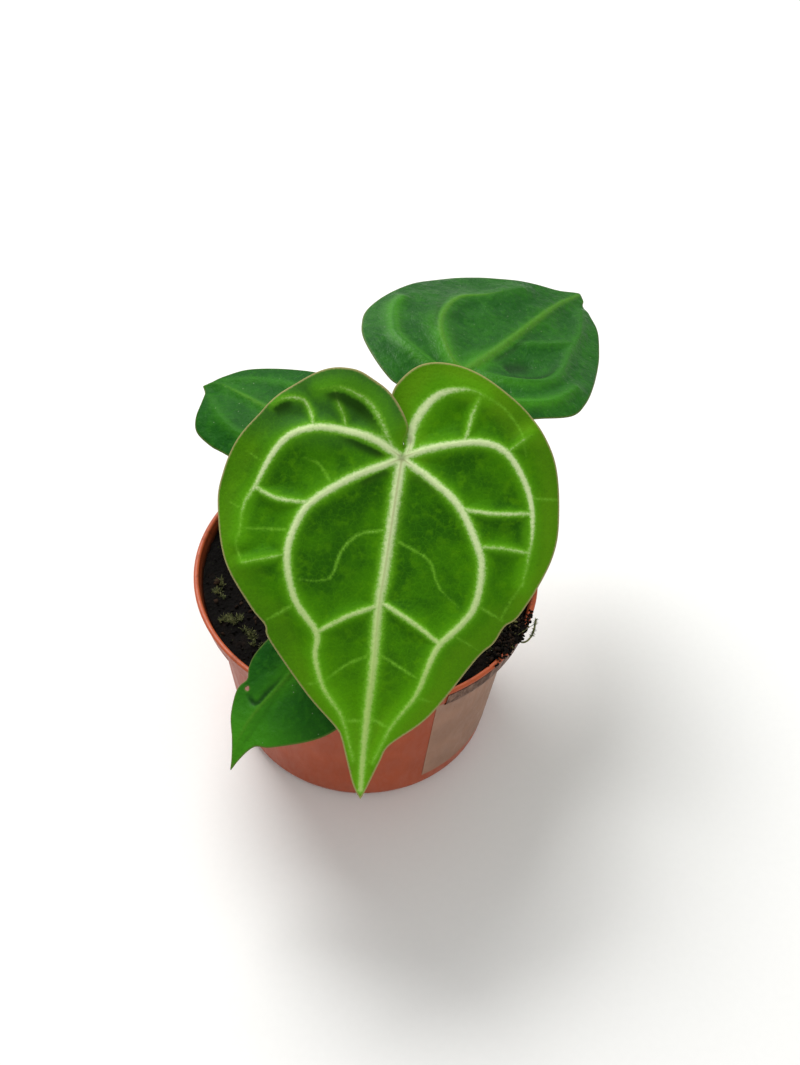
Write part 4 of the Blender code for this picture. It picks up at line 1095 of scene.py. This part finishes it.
class PLANT_OT_stalks(bpy.types.Operator):
    """Build the leaf stalks and the short stem they grow round"""
    bl_idname = "plant.stalks"
    bl_label = "Stalks"

    def execute(self, context):
        look = context.scene.plant_stalks
        skin = stalk_finish(look)
        for name, (_, _, thick, _) in STALKS.items():
            line, face = stalk_line(name)
            steps = np.linalg.norm(np.diff(line, axis=0), axis=1)
            done = np.concatenate([[0.0], np.cumsum(steps)])
            share = done / done[-1]
            girth = thick[0] + (thick[1] - thick[0]) * smooth(share * 1.4)
            girth *= 1.0 + 0.15 * (1.0 - smooth(done / 26.0))
            girth *= 1.0 + 0.35 * smooth((done - done[-1] + JOINT_LENGTH + 3.0) / 3.0)
            points, faces = tube(line, girth, look.sides, face)
            stalk = add_piece(name.replace("petiole", "stalk"), points, faces, [skin], name, 60.0)
            store(stalk, "share", np.repeat(share, look.sides))
            face_out(stalk)
        papery = sheath_finish(look)
        make_stem(papery)
        make_sheaths(papery)
        return {"FINISHED"}


def sheath_finish(look):
    """Papery brown fibres."""
    board = Board("sheath_skin")
    fibre = board.noise(board.place((1.0, 1.0, 0.12)), 2.2, 5.0, 0.7)
    colour = board.mix(board.ease(fibre, 0.35, 0.68), look.low, look.sheath)
    board.bump(fibre, 0.6, 0.5)
    return board.finish(colour, 0.8)


def make_stem(skin):
    """The short stem with its ringed scars."""
    bottom = CROWN_LOW.z / MM
    top = CROWN_HIGH.z / MM
    girth = CROWN_HIGH.x / MM
    rings = 18
    scars = 5
    section = [(0.0, bottom), (girth * 0.8, bottom)]
    for ring in range(rings):
        share = ring / (rings - 1)
        swell = 0.93 + 0.07 * math.cos(share * scars * 2.0 * math.pi)
        section.append((girth * swell * (1.0 - 0.35 * share), bottom + 0.6 + (top - 3.0 - bottom) * share))
    section += [(girth * 0.42, top - 1.3), (girth * 0.2, top - 0.4), (0.0, top - 0.1)]
    points, faces = turned(section, 48)
    crown = add_piece("short_stem", points, faces, [skin], "crown")
    face_out(crown)


def make_sheaths(skin):
    """Papery strips of old sheaths, standing round the short stem."""
    radius = CROWN_HIGH.x / MM * 0.78
    thickness = 0.15
    rungs = 7
    random.seed(SEED + 3)
    points = []
    faces = []
    for strip in range(16):
        turn = strip * 2.4
        length = random.uniform(4.0, 8.0)
        lean = random.uniform(0.5, 2.6)
        width = random.uniform(0.7, 1.4)
        base = len(points)
        for rung in range(rungs):
            t = rung / (rungs - 1)
            out = radius + lean * t * t
            half = width * (1.0 - t) ** 0.7 / radius + 0.01
            for side in (-half, half):
                for away in (out, out + thickness):
                    points.append((away * math.cos(turn + side), away * math.sin(turn + side),
                                   SOIL_TOP - 1.0 + length * t))
        for low in range(base, base + 4 * (rungs - 1), 4):
            for a, b in ((0, 1), (1, 3), (3, 2), (2, 0)):
                faces.append((low + a, low + b, low + 4 + b, low + 4 + a))
        faces.append((base, base + 2, base + 3, base + 1))
        end = base + (rungs - 1) * 4
        faces.append((end + 1, end + 3, end + 2, end))
    strips = add_piece("sheath_strips", points, faces, [skin], None)
    face_out(strips)


# Pot and sticker

def wall_radius(height):
    """Outer radius of the pot's wall below the collar."""
    share = (height - BASE_EDGE) / (COLLAR_FOOT - BASE_EDGE)
    return BASE_RADIUS + (WALL_TOP_RADIUS - BASE_RADIUS) * share


def arc(centre, radius, start, end, steps):
    """Profile points on a round corner, angles in degrees from outward, anticlockwise."""
    return [(centre[0] + radius * math.cos(math.radians(start + (end - start) * step / steps)),
             centre[1] + radius * math.sin(math.radians(start + (end - start) * step / steps)))
            for step in range(steps + 1)]


def pot_profile():
    """Section of the pot: under the base, up the wall and collar, over the lip and down inside."""
    lip = 0.75
    section = [(0.0, 0.0), (20.0, 0.0)]
    section += arc((BASE_RADIUS - BASE_EDGE, BASE_EDGE), BASE_EDGE, -90.0, -4.0, 9)
    section += [(wall_radius(h), h) for h in (14.0, 26.0, 38.0, 50.0, 58.0)]
    section += [(WALL_TOP_RADIUS - 0.05, COLLAR_FOOT - 1.0), (WALL_TOP_RADIUS + 0.35, COLLAR_FOOT - 0.35)]
    section += arc((COLLAR_FOOT_RADIUS - 0.7, COLLAR_FOOT + 0.7), 0.7, -90.0, 0.0, 4)
    section += [(COLLAR_FOOT_RADIUS + 0.45, COLLAR_FOOT + 3.0), (RIM_RADIUS - 0.75, POT_HEIGHT - 2.2)]
    section += arc((RIM_RADIUS - lip, POT_HEIGHT - lip), lip, -20.0, 90.0, 7)
    section += arc((RIM_RADIUS - LIP_WIDTH + lip, POT_HEIGHT - lip), lip, 90.0, 180.0, 5)
    section += [(COLLAR_FOOT_RADIUS - WALL - 0.1, COLLAR_FOOT + 1.8),
                (COLLAR_FOOT_RADIUS - WALL - 0.7, COLLAR_FOOT + 0.7),
                (WALL_TOP_RADIUS - WALL + 0.3, COLLAR_FOOT - 0.8),
                (WALL_TOP_RADIUS - WALL, COLLAR_FOOT - 1.8)]
    section += [(wall_radius(h) - WALL, h) for h in (50.0, 30.0, FLOOR + 4.0)]
    section += arc((wall_radius(FLOOR) - WALL - 4.0, FLOOR + 4.0), 4.0, -8.0, -90.0, 5)
    section += [(20.0, FLOOR), (0.0, FLOOR)]
    return section


def pot_finish(look):
    """Satin moulded plastic: paler in patches, painted light on the top of the lip, darker along the step
    and on the inner wall, with soil smears near the top.
    """
    board = Board("pot_plastic")
    place = board.place()
    x, y, height = board.parts(place)
    cloud = board.noise(place, 0.06, 4.0, 0.6)
    fine = board.noise(place, 1.4, 4.0, 0.65)
    smear = board.noise(board.place((1.0, 1.0, 0.35)), 0.25, 5.0, 0.65, 0.4)
    colour = board.mix(board.ease(cloud, 0.35, 0.7, 0.0, 0.35), look.clay, look.pale_and_lit)
    # Painted light on the top of the lip, which faces the light.
    lit_height = board.plus(height, board.times(fine, 0.6))
    lip = board.ease(lit_height, POT_HEIGHT - 0.9, POT_HEIGHT + 0.1)
    colour = board.mix(board.times(lip, 0.75), colour, look.pale_and_lit)
    upper = board.ease(height, COLLAR_FOOT - 8.0, POT_HEIGHT - 1.0)
    dusty = board.times(upper, board.ease(smear, 0.52, 0.72, 0.0, 0.55))
    colour = board.mix(dusty, colour, look.dirt)
    # The inner wall above the collar's foot is darkened with the dirt colour.
    inner = board.ease(board.reach(x, y), COLLAR_FOOT_RADIUS - 0.3, COLLAR_FOOT_RADIUS - 0.9)
    inner = board.times(inner, board.ease(height, COLLAR_FOOT, COLLAR_FOOT + 0.8))
    colour = board.mix(board.times(inner, 0.8), colour, look.dirt)
    # The step at the collar's foot is darker, broken up by the fine pattern.
    step_gap = board.calc("ABSOLUTE", board.minus(height, COLLAR_FOOT))
    crease = board.times(board.ease(step_gap, 1.2, 0.1), board.ease(fine, 0.35, 0.6, 0.2, 0.8))
    colour = board.mix(crease, colour, look.dirt)
    speck = board.ease(board.noise(place, 1.1, 2.0, 0.5), 0.70, 0.76, 0.0, 0.6)
    colour = board.mix(board.times(speck, upper), colour, look.dirt)
    board.bump(fine, 0.06, 0.3)
    return board.finish(colour, board.ease(smear, 0.3, 0.7, 0.36, 0.54), Specular_IOR_Level=0.3)


def drill(piece):
    """Cut the drain holes through the pot's floor and keep the result in the mesh."""
    mesh = bpy.data.meshes.new("drain_cutters")
    shell = bmesh.new()
    for number in range(DRAIN_HOLES):
        turn = 2.0 * math.pi * (number + 0.5) / DRAIN_HOLES
        ring = DRAIN_RING * MM
        spot = Matrix.Translation((ring * math.cos(turn), ring * math.sin(turn), FLOOR * MM / 2))
        bmesh.ops.create_cone(shell, cap_ends=True, segments=32, radius1=DRAIN_RADIUS * MM,
                              radius2=DRAIN_RADIUS * MM, depth=FLOOR * MM * 3.0, matrix=spot)
    shell.to_mesh(mesh)
    shell.free()
    cutter = bpy.data.objects.new("drain_cutters", mesh)
    bpy.context.scene.collection.objects.link(cutter)
    hole = piece.modifiers.new("drain holes", "BOOLEAN")
    hole.operation = "DIFFERENCE"
    hole.solver = "EXACT"
    hole.object = cutter
    bpy.context.view_layer.update()
    drilled = bpy.data.meshes.new_from_object(piece.evaluated_get(bpy.context.evaluated_depsgraph_get()))
    piece.modifiers.clear()
    piece.data = drilled
    bpy.data.objects.remove(cutter, do_unlink=True)
    drilled.set_sharp_from_angle(angle=math.radians(50))


class PLANT_OT_pot(bpy.types.Operator):
    """Build the moulded pot and its plain sticker"""
    bl_idname = "plant.pot"
    bl_label = "Pot"

    def execute(self, context):
        look = context.scene.plant_pot
        points, faces = turned(pot_profile(), look.steps)
        pot = add_piece("pot_body", points, faces, [pot_finish(look)], "pot", 50.0)
        face_out(pot)
        drill(pot)
        make_sticker(look)
        return {"FINISHED"}


def sticker_finish(look):
    """Dull mauve-grey film with dust and crumbs of soil where it bends over the collar."""
    board = Board("sticker_film")
    place = board.place()
    _, _, height = board.parts(place)
    cloud = board.noise(place, 0.07, 3.0, 0.55)
    streak = board.noise(board.place((1.0, 1.0, 0.4)), 0.35, 5.0, 0.7, 0.5)
    shaded = [c * 0.80 for c in look.sticker]
    colour = board.mix(board.ease(cloud, 0.35, 0.65, 0.0, 0.4), look.sticker, shaded)
    near_top = board.ease(height, COLLAR_FOOT - 4.0, COLLAR_FOOT + 0.5)
    dust = board.times(near_top, board.ease(streak, 0.36, 0.62, 0.4, 0.9))
    colour = board.mix(dust, colour, look.dirt)
    fleck = board.ease(board.noise(place, 1.0, 2.0, 0.5), 0.70, 0.75, 0.0, 0.8)
    fleck = board.times(fleck, board.ease(height, 30.0, POT_HEIGHT - 4.0, 0.15, 1.0))
    colour = board.mix(fleck, colour, look.dirt)
    board.bump(streak, 0.12, 0.3)
    return board.finish(colour, board.ease(streak, 0.3, 0.7, 0.4, 0.6), Specular_IOR_Level=0.12)


def make_sticker(look):
    """A thin blank film on the wall, bent out over the collar and up to just under the lip."""
    gap = 0.04
    thickness = 0.12
    line = [(wall_radius(h) + gap, h) for h in (9.0, 22.0, 36.0, 48.0, COLLAR_FOOT - 6.0)]
    line += [(WALL_TOP_RADIUS + 0.9, COLLAR_FOOT - 3.6), (WALL_TOP_RADIUS + 2.4, COLLAR_FOOT - 1.8),
             (COLLAR_FOOT_RADIUS - 0.4, COLLAR_FOOT - 0.8), (COLLAR_FOOT_RADIUS + 0.2, COLLAR_FOOT + 0.2),
             (COLLAR_FOOT_RADIUS + gap + 0.4, COLLAR_FOOT + 1.6), (RIM_RADIUS - 0.5 + gap, POT_HEIGHT - 2.0)]
    steps = 64
    points = []
    for shift in (0.0, thickness):
        for radius, height in line:
            for step in range(steps + 1):
                turn = look.label_start + (look.label_end - look.label_start) * step / steps
                points.append(((radius + shift) * math.cos(turn), (radius + shift) * math.sin(turn), height))
    across = steps + 1
    sheet = across * len(line)
    faces = []
    for row in range(len(line) - 1):
        for step in range(steps):
            low = row * across + step
            quad = (low, low + 1, low + across + 1, low + across)
            faces.append(tuple(sheet + c for c in quad))
            faces.append(tuple(reversed(quad)))
    edge = list(range(across)) + [row * across + steps for row in range(1, len(line))]
    edge += [(len(line) - 1) * across + step for step in range(steps - 1, -1, -1)]
    edge += [row * across for row in range(len(line) - 2, 0, -1)]
    for here, after in zip(edge, edge[1:] + edge[:1]):
        faces.append((here, after, sheet + after, sheet + here))
    sticker = add_piece("plain_sticker", points, faces, [sticker_finish(look)], "pot_label", 60.0)
    face_out(sticker)


# Soil, crumbs and moss

def soil_height(x, y):
    """The crumbly top of the soil, with a heap against the rim."""
    lump = noise.noise(Vector((x, y, SEED)) * 0.11) * SOIL_LUMP
    lump += noise.noise(Vector((y, x, SEED)) * 0.31) * SOIL_LUMP * 0.5
    away = math.hypot(x - HEAP_PLACE[0], y - HEAP_PLACE[1]) / HEAP_SIZE
    return SOIL_TOP + lump + HEAP_HEIGHT * math.exp(-away * away)


def soil_bank(radius):
    """How much the soil rises towards the wall."""
    return SOIL_BANK * float(smooth((radius - BANK_FROM) / BANK_WIDTH))


def soil_finish(look):
    """Moist dark peat with drier crumbs, bark dust and green specks."""
    board = Board("potting_mix")
    place = board.place()
    crumb = board.cells(place, 0.8)
    fine = board.noise(place, 1.8, 5.0, 0.7)
    cloud = board.noise(place, 0.12, 4.0, 0.6)
    colour = board.mix(board.ease(fine, 0.45, 0.75, 0.0, 0.7), look.dark, look.light)
    colour = board.mix(board.ease(cloud, 0.55, 0.75, 0.0, 0.35), colour, look.bark)
    green = board.ease(board.noise(place, 0.5, 3.0, 0.6), 0.66, 0.74, 0.0, 0.5)
    colour = board.mix(green, colour, look.moss)
    board.bump(board.plus(crumb, fine), 0.8, 0.8)
    return board.finish(colour, board.ease(fine, 0.3, 0.7, 0.75, 0.95), Specular_IOR_Level=0.1)


def make_soil(look):
    """The soil's rough top and its plain sides."""
    steps = 150
    rings = 58
    top_radius = COLLAR_FOOT_RADIUS - WALL + 0.1
    section = [(0.0, FLOOR + 0.4), (wall_radius(FLOOR + 4.0) - WALL - 4.6, FLOOR + 0.4),
               (wall_radius(FLOOR + 4.0) - WALL - 0.9, FLOOR + 4.6),
               (wall_radius(30.0) - WALL - 0.7, 30.0), (WALL_TOP_RADIUS - WALL - 0.8, COLLAR_FOOT - 1.8),
               (top_radius - 0.9, COLLAR_FOOT + 2.6)]
    points = []
    rows = []
    for radius, height in section:
        rows.append(len(points))
        for step in range(steps):
            turn = 2.0 * math.pi * step / steps
            points.append((max(radius, 0.01) * math.cos(turn), max(radius, 0.01) * math.sin(turn), height))
    for ring in range(rings, 0, -1):
        rows.append(len(points))
        radius = top_radius * ring / rings
        for step in range(steps):
            turn = 2.0 * math.pi * step / steps
            x = radius * math.cos(turn)
            y = radius * math.sin(turn)
            rough = noise.noise(Vector((x, y, 3.0)) * 0.8) * 0.7
            rough += noise.noise(Vector((x, y, 9.0)) * 1.9) * 0.35
            height = soil_height(x, y) + rough + soil_bank(radius) - SOIL_SINK
            points.append((x, y, max(height, COLLAR_FOOT + 2.8)))
    faces = []
    for row, following in zip(rows, rows[1:]):
        for step in range(steps):
            after = (step + 1) % steps
            faces.append((row + step, row + after, following + after, following + step))
    faces.append(tuple(reversed(range(steps))))
    faces.append(tuple(rows[-1] + step for step in range(steps)))
    soil = add_piece("soil_mix", points, faces, [soil_finish(look)], "soil", 70.0)
    face_out(soil)


def lump_shape(size, stretch, turn):
    """Points and faces of one uneven crumb."""
    shell = bmesh.new()
    bmesh.ops.create_icosphere(shell, subdivisions=1, radius=1.0)
    shift = random.uniform(0.0, 50.0)
    spin = Matrix.Rotation(turn, 3, (random.uniform(-1, 1), random.uniform(-1, 1), random.uniform(0.2, 1.0)))
    points = []
    for vert in shell.verts:
        bulge = 1.0 + 0.55 * noise.noise(vert.co * 1.3 + Vector((shift, 0.0, 0.0)))
        spot = Vector((vert.co.x * stretch[0], vert.co.y * stretch[1], vert.co.z * stretch[2]))
        points.append(spin @ (spot * bulge * size))
    faces = [tuple(vert.index for vert in face.verts) for face in shell.faces]
    shell.free()
    return points, faces


def crumb_finish(name, first, second, roughness):
    """Rough crumbs of two mixed colours."""
    board = Board(name)
    place = board.place()
    fine = board.noise(place, 1.5, 4.0, 0.65)
    shade = board.noise(place, 0.35, 2.0, 0.5)
    colour = board.mix(board.ease(shade, 0.35, 0.65), first, second)
    board.bump(fine, 0.5, 0.3)
    return board.finish(colour, roughness, Specular_IOR_Level=0.12)


def crumb_place(on_heap, heap_turn):
    """Turn and radius of a crumb: round the heap, or anywhere on the soil."""
    if on_heap:
        turn = heap_turn + random.uniform(-0.1, 0.1) + random.gauss(0.0, 0.07)
        return turn, HEAP_EDGE - abs(random.gauss(0.0, 7.0))
    return random.uniform(-math.pi, math.pi), 56.0 * math.sqrt(random.uniform(0.02, 1.0))


def scatter(look):
    """Crumbs of peat and bark over the soil, thicker on the heap and spilling onto the lip there."""
    random.seed(SEED + 1)
    heaps = {"peat_crumbs": ([], []), "bark_bits": ([], []), "pale_bits": ([], [])}
    heap_turn = math.atan2(HEAP_PLACE[1], HEAP_PLACE[0])
    for number in range(look.crumbs):
        on_heap = number % 3 == 0
        turn, radius = crumb_place(on_heap, heap_turn)
        x = radius * math.cos(turn)
        y = radius * math.sin(turn)
        beside = min(math.hypot(x - r[0], y - r[1]) for _, r, _, _ in STALKS.values())
        if beside < CLEAR_OF_STALK or radius < CLEAR_OF_STEM:
            continue
        ground = soil_height(x, y) + soil_bank(radius) - SOIL_SINK
        if on_heap and radius > WALL_TOP_RADIUS:
            piled = max(0.0, 1.0 - abs(turn - heap_turn) / 0.3)
            ground = POT_HEIGHT - 0.2 + random.uniform(0.0, 2.2) * piled
        draw = random.random()
        kind = "peat_crumbs" if draw < 0.72 else "bark_bits" if draw < 0.95 else "pale_bits"
        size = random.uniform(0.35, 1.0) if kind != "bark_bits" else random.uniform(0.5, 1.4)
        if on_heap and radius > 57.0:
            size = random.uniform(0.4, 0.9)
        stretch = (1.0, random.uniform(0.5, 0.9), random.uniform(0.35, 0.7))
        shape, faces = lump_shape(size, stretch, random.uniform(0.0, 6.28))
        lift = ground + size * random.uniform(0.0, 0.35)
        points, all_faces = heaps[kind]
        base = len(points)
        points += [(p.x + x, p.y + y, p.z + lift) for p in shape]
        all_faces += [tuple(base + c for c in face) for face in faces]
    finishes = {
        "peat_crumbs": crumb_finish("peat_crumb", look.dark, look.light, 0.95),
        "bark_bits": crumb_finish("bark_bit", look.light, look.bark, 0.85),
        "pale_bits": crumb_finish("pale_bit", look.bark, look.straw, 0.8),
    }
    for name, (points, faces) in heaps.items():
        add_piece(name, points, faces, [finishes[name]], None)


def moss_blade(points, faces, foot, way, length, width):
    """One tapering moss leaflet of three sides."""
    base = len(points)
    way = Vector(way).normalized()
    side = way.cross(Vector((0.3, 0.2, 1.0))).normalized()
    other = way.cross(side)
    for share, half in ((0.0, 0.7), (0.45, 1.0), (1.0, 0.12)):
        middle = Vector(foot) + way * (length * share) + Vector((0.0, 0.0, -0.25 * length * share * share))
        for step in range(3):
            turn = 2.0 * math.pi * step / 3
            points.append(tuple(middle + (side * math.cos(turn) + other * math.sin(turn)) * (half * width)))
    for ring in (base, base + 3):
        for step in range(3):
            after = (step + 1) % 3
            faces.append((ring + step, ring + after, ring + 3 + after, ring + 3 + step))
    faces.append((base + 2, base + 1, base))
    faces.append((base + 6, base + 7, base + 8))


def moss_finish(look):
    """Dull green with pale dry tips."""
    board = Board("moss_green")
    fine = board.noise(board.place(), 0.9, 3.0, 0.6)
    colour = board.mix(board.ease(fine, 0.40, 0.68), look.moss, look.straw)
    return board.finish(colour, 0.75)


def tuft_place(number):
    """Where a tuft stands: three in four in the clumps, and the rest anywhere."""
    if number % 4:
        x, y, spread = MOSS_CLUMPS[number % len(MOSS_CLUMPS)]
        return x + random.gauss(0.0, spread), y + random.gauss(0.0, spread)
    turn = random.uniform(-math.pi, math.pi)
    radius = random.uniform(18.0, 50.0)
    return radius * math.cos(turn), radius * math.sin(turn)


def make_tufts(look, green):
    """Small tufts of moss on the soil."""
    points = []
    faces = []
    for number in range(look.tufts):
        x, y = tuft_place(number)
        radius = math.hypot(x, y)
        if radius > 54.0 or radius < 16.0:
            continue
        ground = soil_height(x, y) + soil_bank(radius) - 0.4
        for _ in range(26):
            lean = random.uniform(0.0, 6.28)
            spread = random.uniform(0.1, 1.1)
            start = (x + random.uniform(-0.9, 0.9), y + random.uniform(-0.9, 0.9), ground)
            moss_blade(points, faces, start, (math.cos(lean) * spread, math.sin(lean) * spread, 1.0),
                       random.uniform(1.0, 2.6), random.uniform(0.10, 0.18))
    add_piece("moss_tufts", points, faces, [green], None)


def make_sprig(green):
    """A sprig of moss standing at the rim, with a side thread and thick leaflets at its top."""
    points = []
    faces = []
    for route, girth in ((SPRIG_STALK, 0.32), (SPRIG_THREAD, 0.1)):
        line = curve_through(route, 0.6)
        more, more_faces = tube(line, np.full(len(line), girth), 6)
        base = len(points)
        points += [tuple(p) for p in more]
        faces += [tuple(base + c for c in face) for face in more_faces]
    line = curve_through(SPRIG_STALK, 0.35)
    for index, spot in enumerate(line):
        share = index / (len(line) - 1)
        longest = 1.3 if share > 0.5 else 0.7
        for _ in range(2 if share < 0.5 else 6):
            lean = random.uniform(0.0, 6.28)
            way = (math.cos(lean), math.sin(lean), random.uniform(-0.2, 1.2))
            moss_blade(points, faces, tuple(spot), way, random.uniform(0.5, longest), 0.11)
    add_piece("moss_sprig", points, faces, [green], None)


class PLANT_OT_soil(bpy.types.Operator):
    """Build the soil, its crumbs and the moss"""
    bl_idname = "plant.soil"
    bl_label = "Soil"

    def execute(self, context):
        look = context.scene.plant_soil
        make_soil(look)
        scatter(look)
        green = moss_finish(look)
        random.seed(SEED + 2)
        make_tufts(look, green)
        make_sprig(green)
        return {"FINISHED"}


# Stage

def area_light(name, place, aim, size, power):
    """A round soft light, pointed at a place."""
    light = bpy.data.lights.new(name, "AREA")
    light.shape = "DISK"
    light.size = size
    light.energy = power
    lamp = bpy.data.objects.new(name, light)
    lamp.location = place
    lamp.rotation_euler = (Vector(aim) - Vector(place)).to_track_quat("-Z", "Y").to_euler()
    bpy.context.scene.collection.objects.link(lamp)


def make_floor(look):
    """A wide sheet of pale paper, a hair below the pot."""
    board = Board("floor_paper")
    grain = board.noise(board.place(), 0.4, 3.0, 0.5)
    colour = board.mix(board.ease(grain, 0.3, 0.7, 0.0, 0.2), look.floor, [c * 0.98 for c in look.floor])
    paper = board.finish(colour, 0.9, Specular_IOR_Level=0.1)
    mesh = bpy.data.meshes.new("floor")
    half = 3.0
    drop = 0.0002
    corners = [(x, y, -drop) for x, y in ((-half, -half), (half, -half), (half, half), (-half, half))]
    mesh.from_pydata(corners, [], [(0, 1, 2, 3)])
    mesh.materials.append(paper)
    floor = bpy.data.objects.new("floor", mesh)
    bpy.context.scene.collection.objects.link(floor)


def make_light(look):
    """One big soft light behind the plant, a weak one in front, and pale surroundings."""
    middle = (0.0, 0.0, 0.1)
    area_light("window_light", (-0.35, 0.65, 1.05), middle, 0.7, look.light)
    area_light("front_fill", (0.5, -0.9, 0.8), middle, 1.0, look.light * 0.2)
    world = bpy.data.worlds.new("pale_room")
    world.use_nodes = True
    world.node_tree.nodes["Background"].inputs["Color"].default_value = (1.0, 1.0, 1.0, 1.0)
    world.node_tree.nodes["Background"].inputs["Strength"].default_value = look.fill
    bpy.context.scene.world = world
    bpy.context.scene.view_settings.view_transform = "Standard"


def make_camera(look):
    """A camera that looks down at the plant as the photograph does."""
    lens = bpy.data.cameras.new("camera")
    lens.lens = look.lens_mm
    lens.sensor_width = 36.0
    lens.clip_start = 0.01
    camera = bpy.data.objects.new("camera", lens)
    camera.location = look.eye
    aim = Vector(look.target) - Vector(look.eye)
    turn = aim.to_track_quat("-Z", "Y").to_matrix() @ Matrix.Rotation(look.tilt, 3, "Z")
    camera.rotation_euler = turn.to_euler()
    bpy.context.scene.collection.objects.link(camera)
    bpy.context.scene.camera = camera


class PLANT_OT_stage(bpy.types.Operator):
    """Set the pale floor, the soft light and the camera"""
    bl_idname = "plant.stage"
    bl_label = "Stage"

    def execute(self, context):
        look = context.scene.plant_stage
        make_floor(look)
        make_light(look)
        make_camera(look)
        return {"FINISHED"}


class PLANT_PT_panel(bpy.types.Panel):
    """Buttons and settings in the 3D view's sidebar"""
    bl_label = "Potted clarinervium"
    bl_space_type = "VIEW_3D"
    bl_region_type = "UI"
    bl_category = "Plant"

    def draw(self, context):
        for operator, group in STEPS:
            self.layout.operator(operator.bl_idname)
            for setting in group:
                looks = getattr(context.scene, setting)
                box = self.layout.box()
                for key in looks.bl_rna.properties.keys():
                    if key not in ("rna_type", "name"):
                        box.prop(looks, key)


STEPS = [
    (PLANT_OT_stage, ["plant_stage"]),
    (PLANT_OT_pot, ["plant_pot"]),
    (PLANT_OT_soil, ["plant_soil"]),
    (PLANT_OT_stalks, ["plant_stalks"]),
    (PLANT_OT_blades, ["plant_young_blade", "plant_old_blade"]),
]
GROUPS = {
    "plant_pot": PLANT_PG_pot,
    "plant_soil": PLANT_PG_soil,
    "plant_stalks": PLANT_PG_stalks,
    "plant_young_blade": PLANT_PG_young_blade,
    "plant_old_blade": PLANT_PG_old_blade,
    "plant_stage": PLANT_PG_stage,
}
CLASSES = list(GROUPS.values()) + [operator for operator, _ in STEPS] + [PLANT_PT_panel]


def register():
    """Make the classes and their settings known to Blender."""
    for kind in CLASSES:
        bpy.utils.register_class(kind)
    for name, group in GROUPS.items():
        setattr(bpy.types.Scene, name, PointerProperty(type=group))


def unregister():
    """Take the classes and their settings away again."""
    for name in GROUPS:
        delattr(bpy.types.Scene, name)
    for kind in reversed(CLASSES):
        bpy.utils.unregister_class(kind)


def main():
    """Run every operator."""
    register()
    bpy.ops.plant.stage()
    bpy.ops.plant.pot()
    bpy.ops.plant.soil()
    bpy.ops.plant.stalks()
    bpy.ops.plant.blades()


if __name__ == "__main__":
    main()
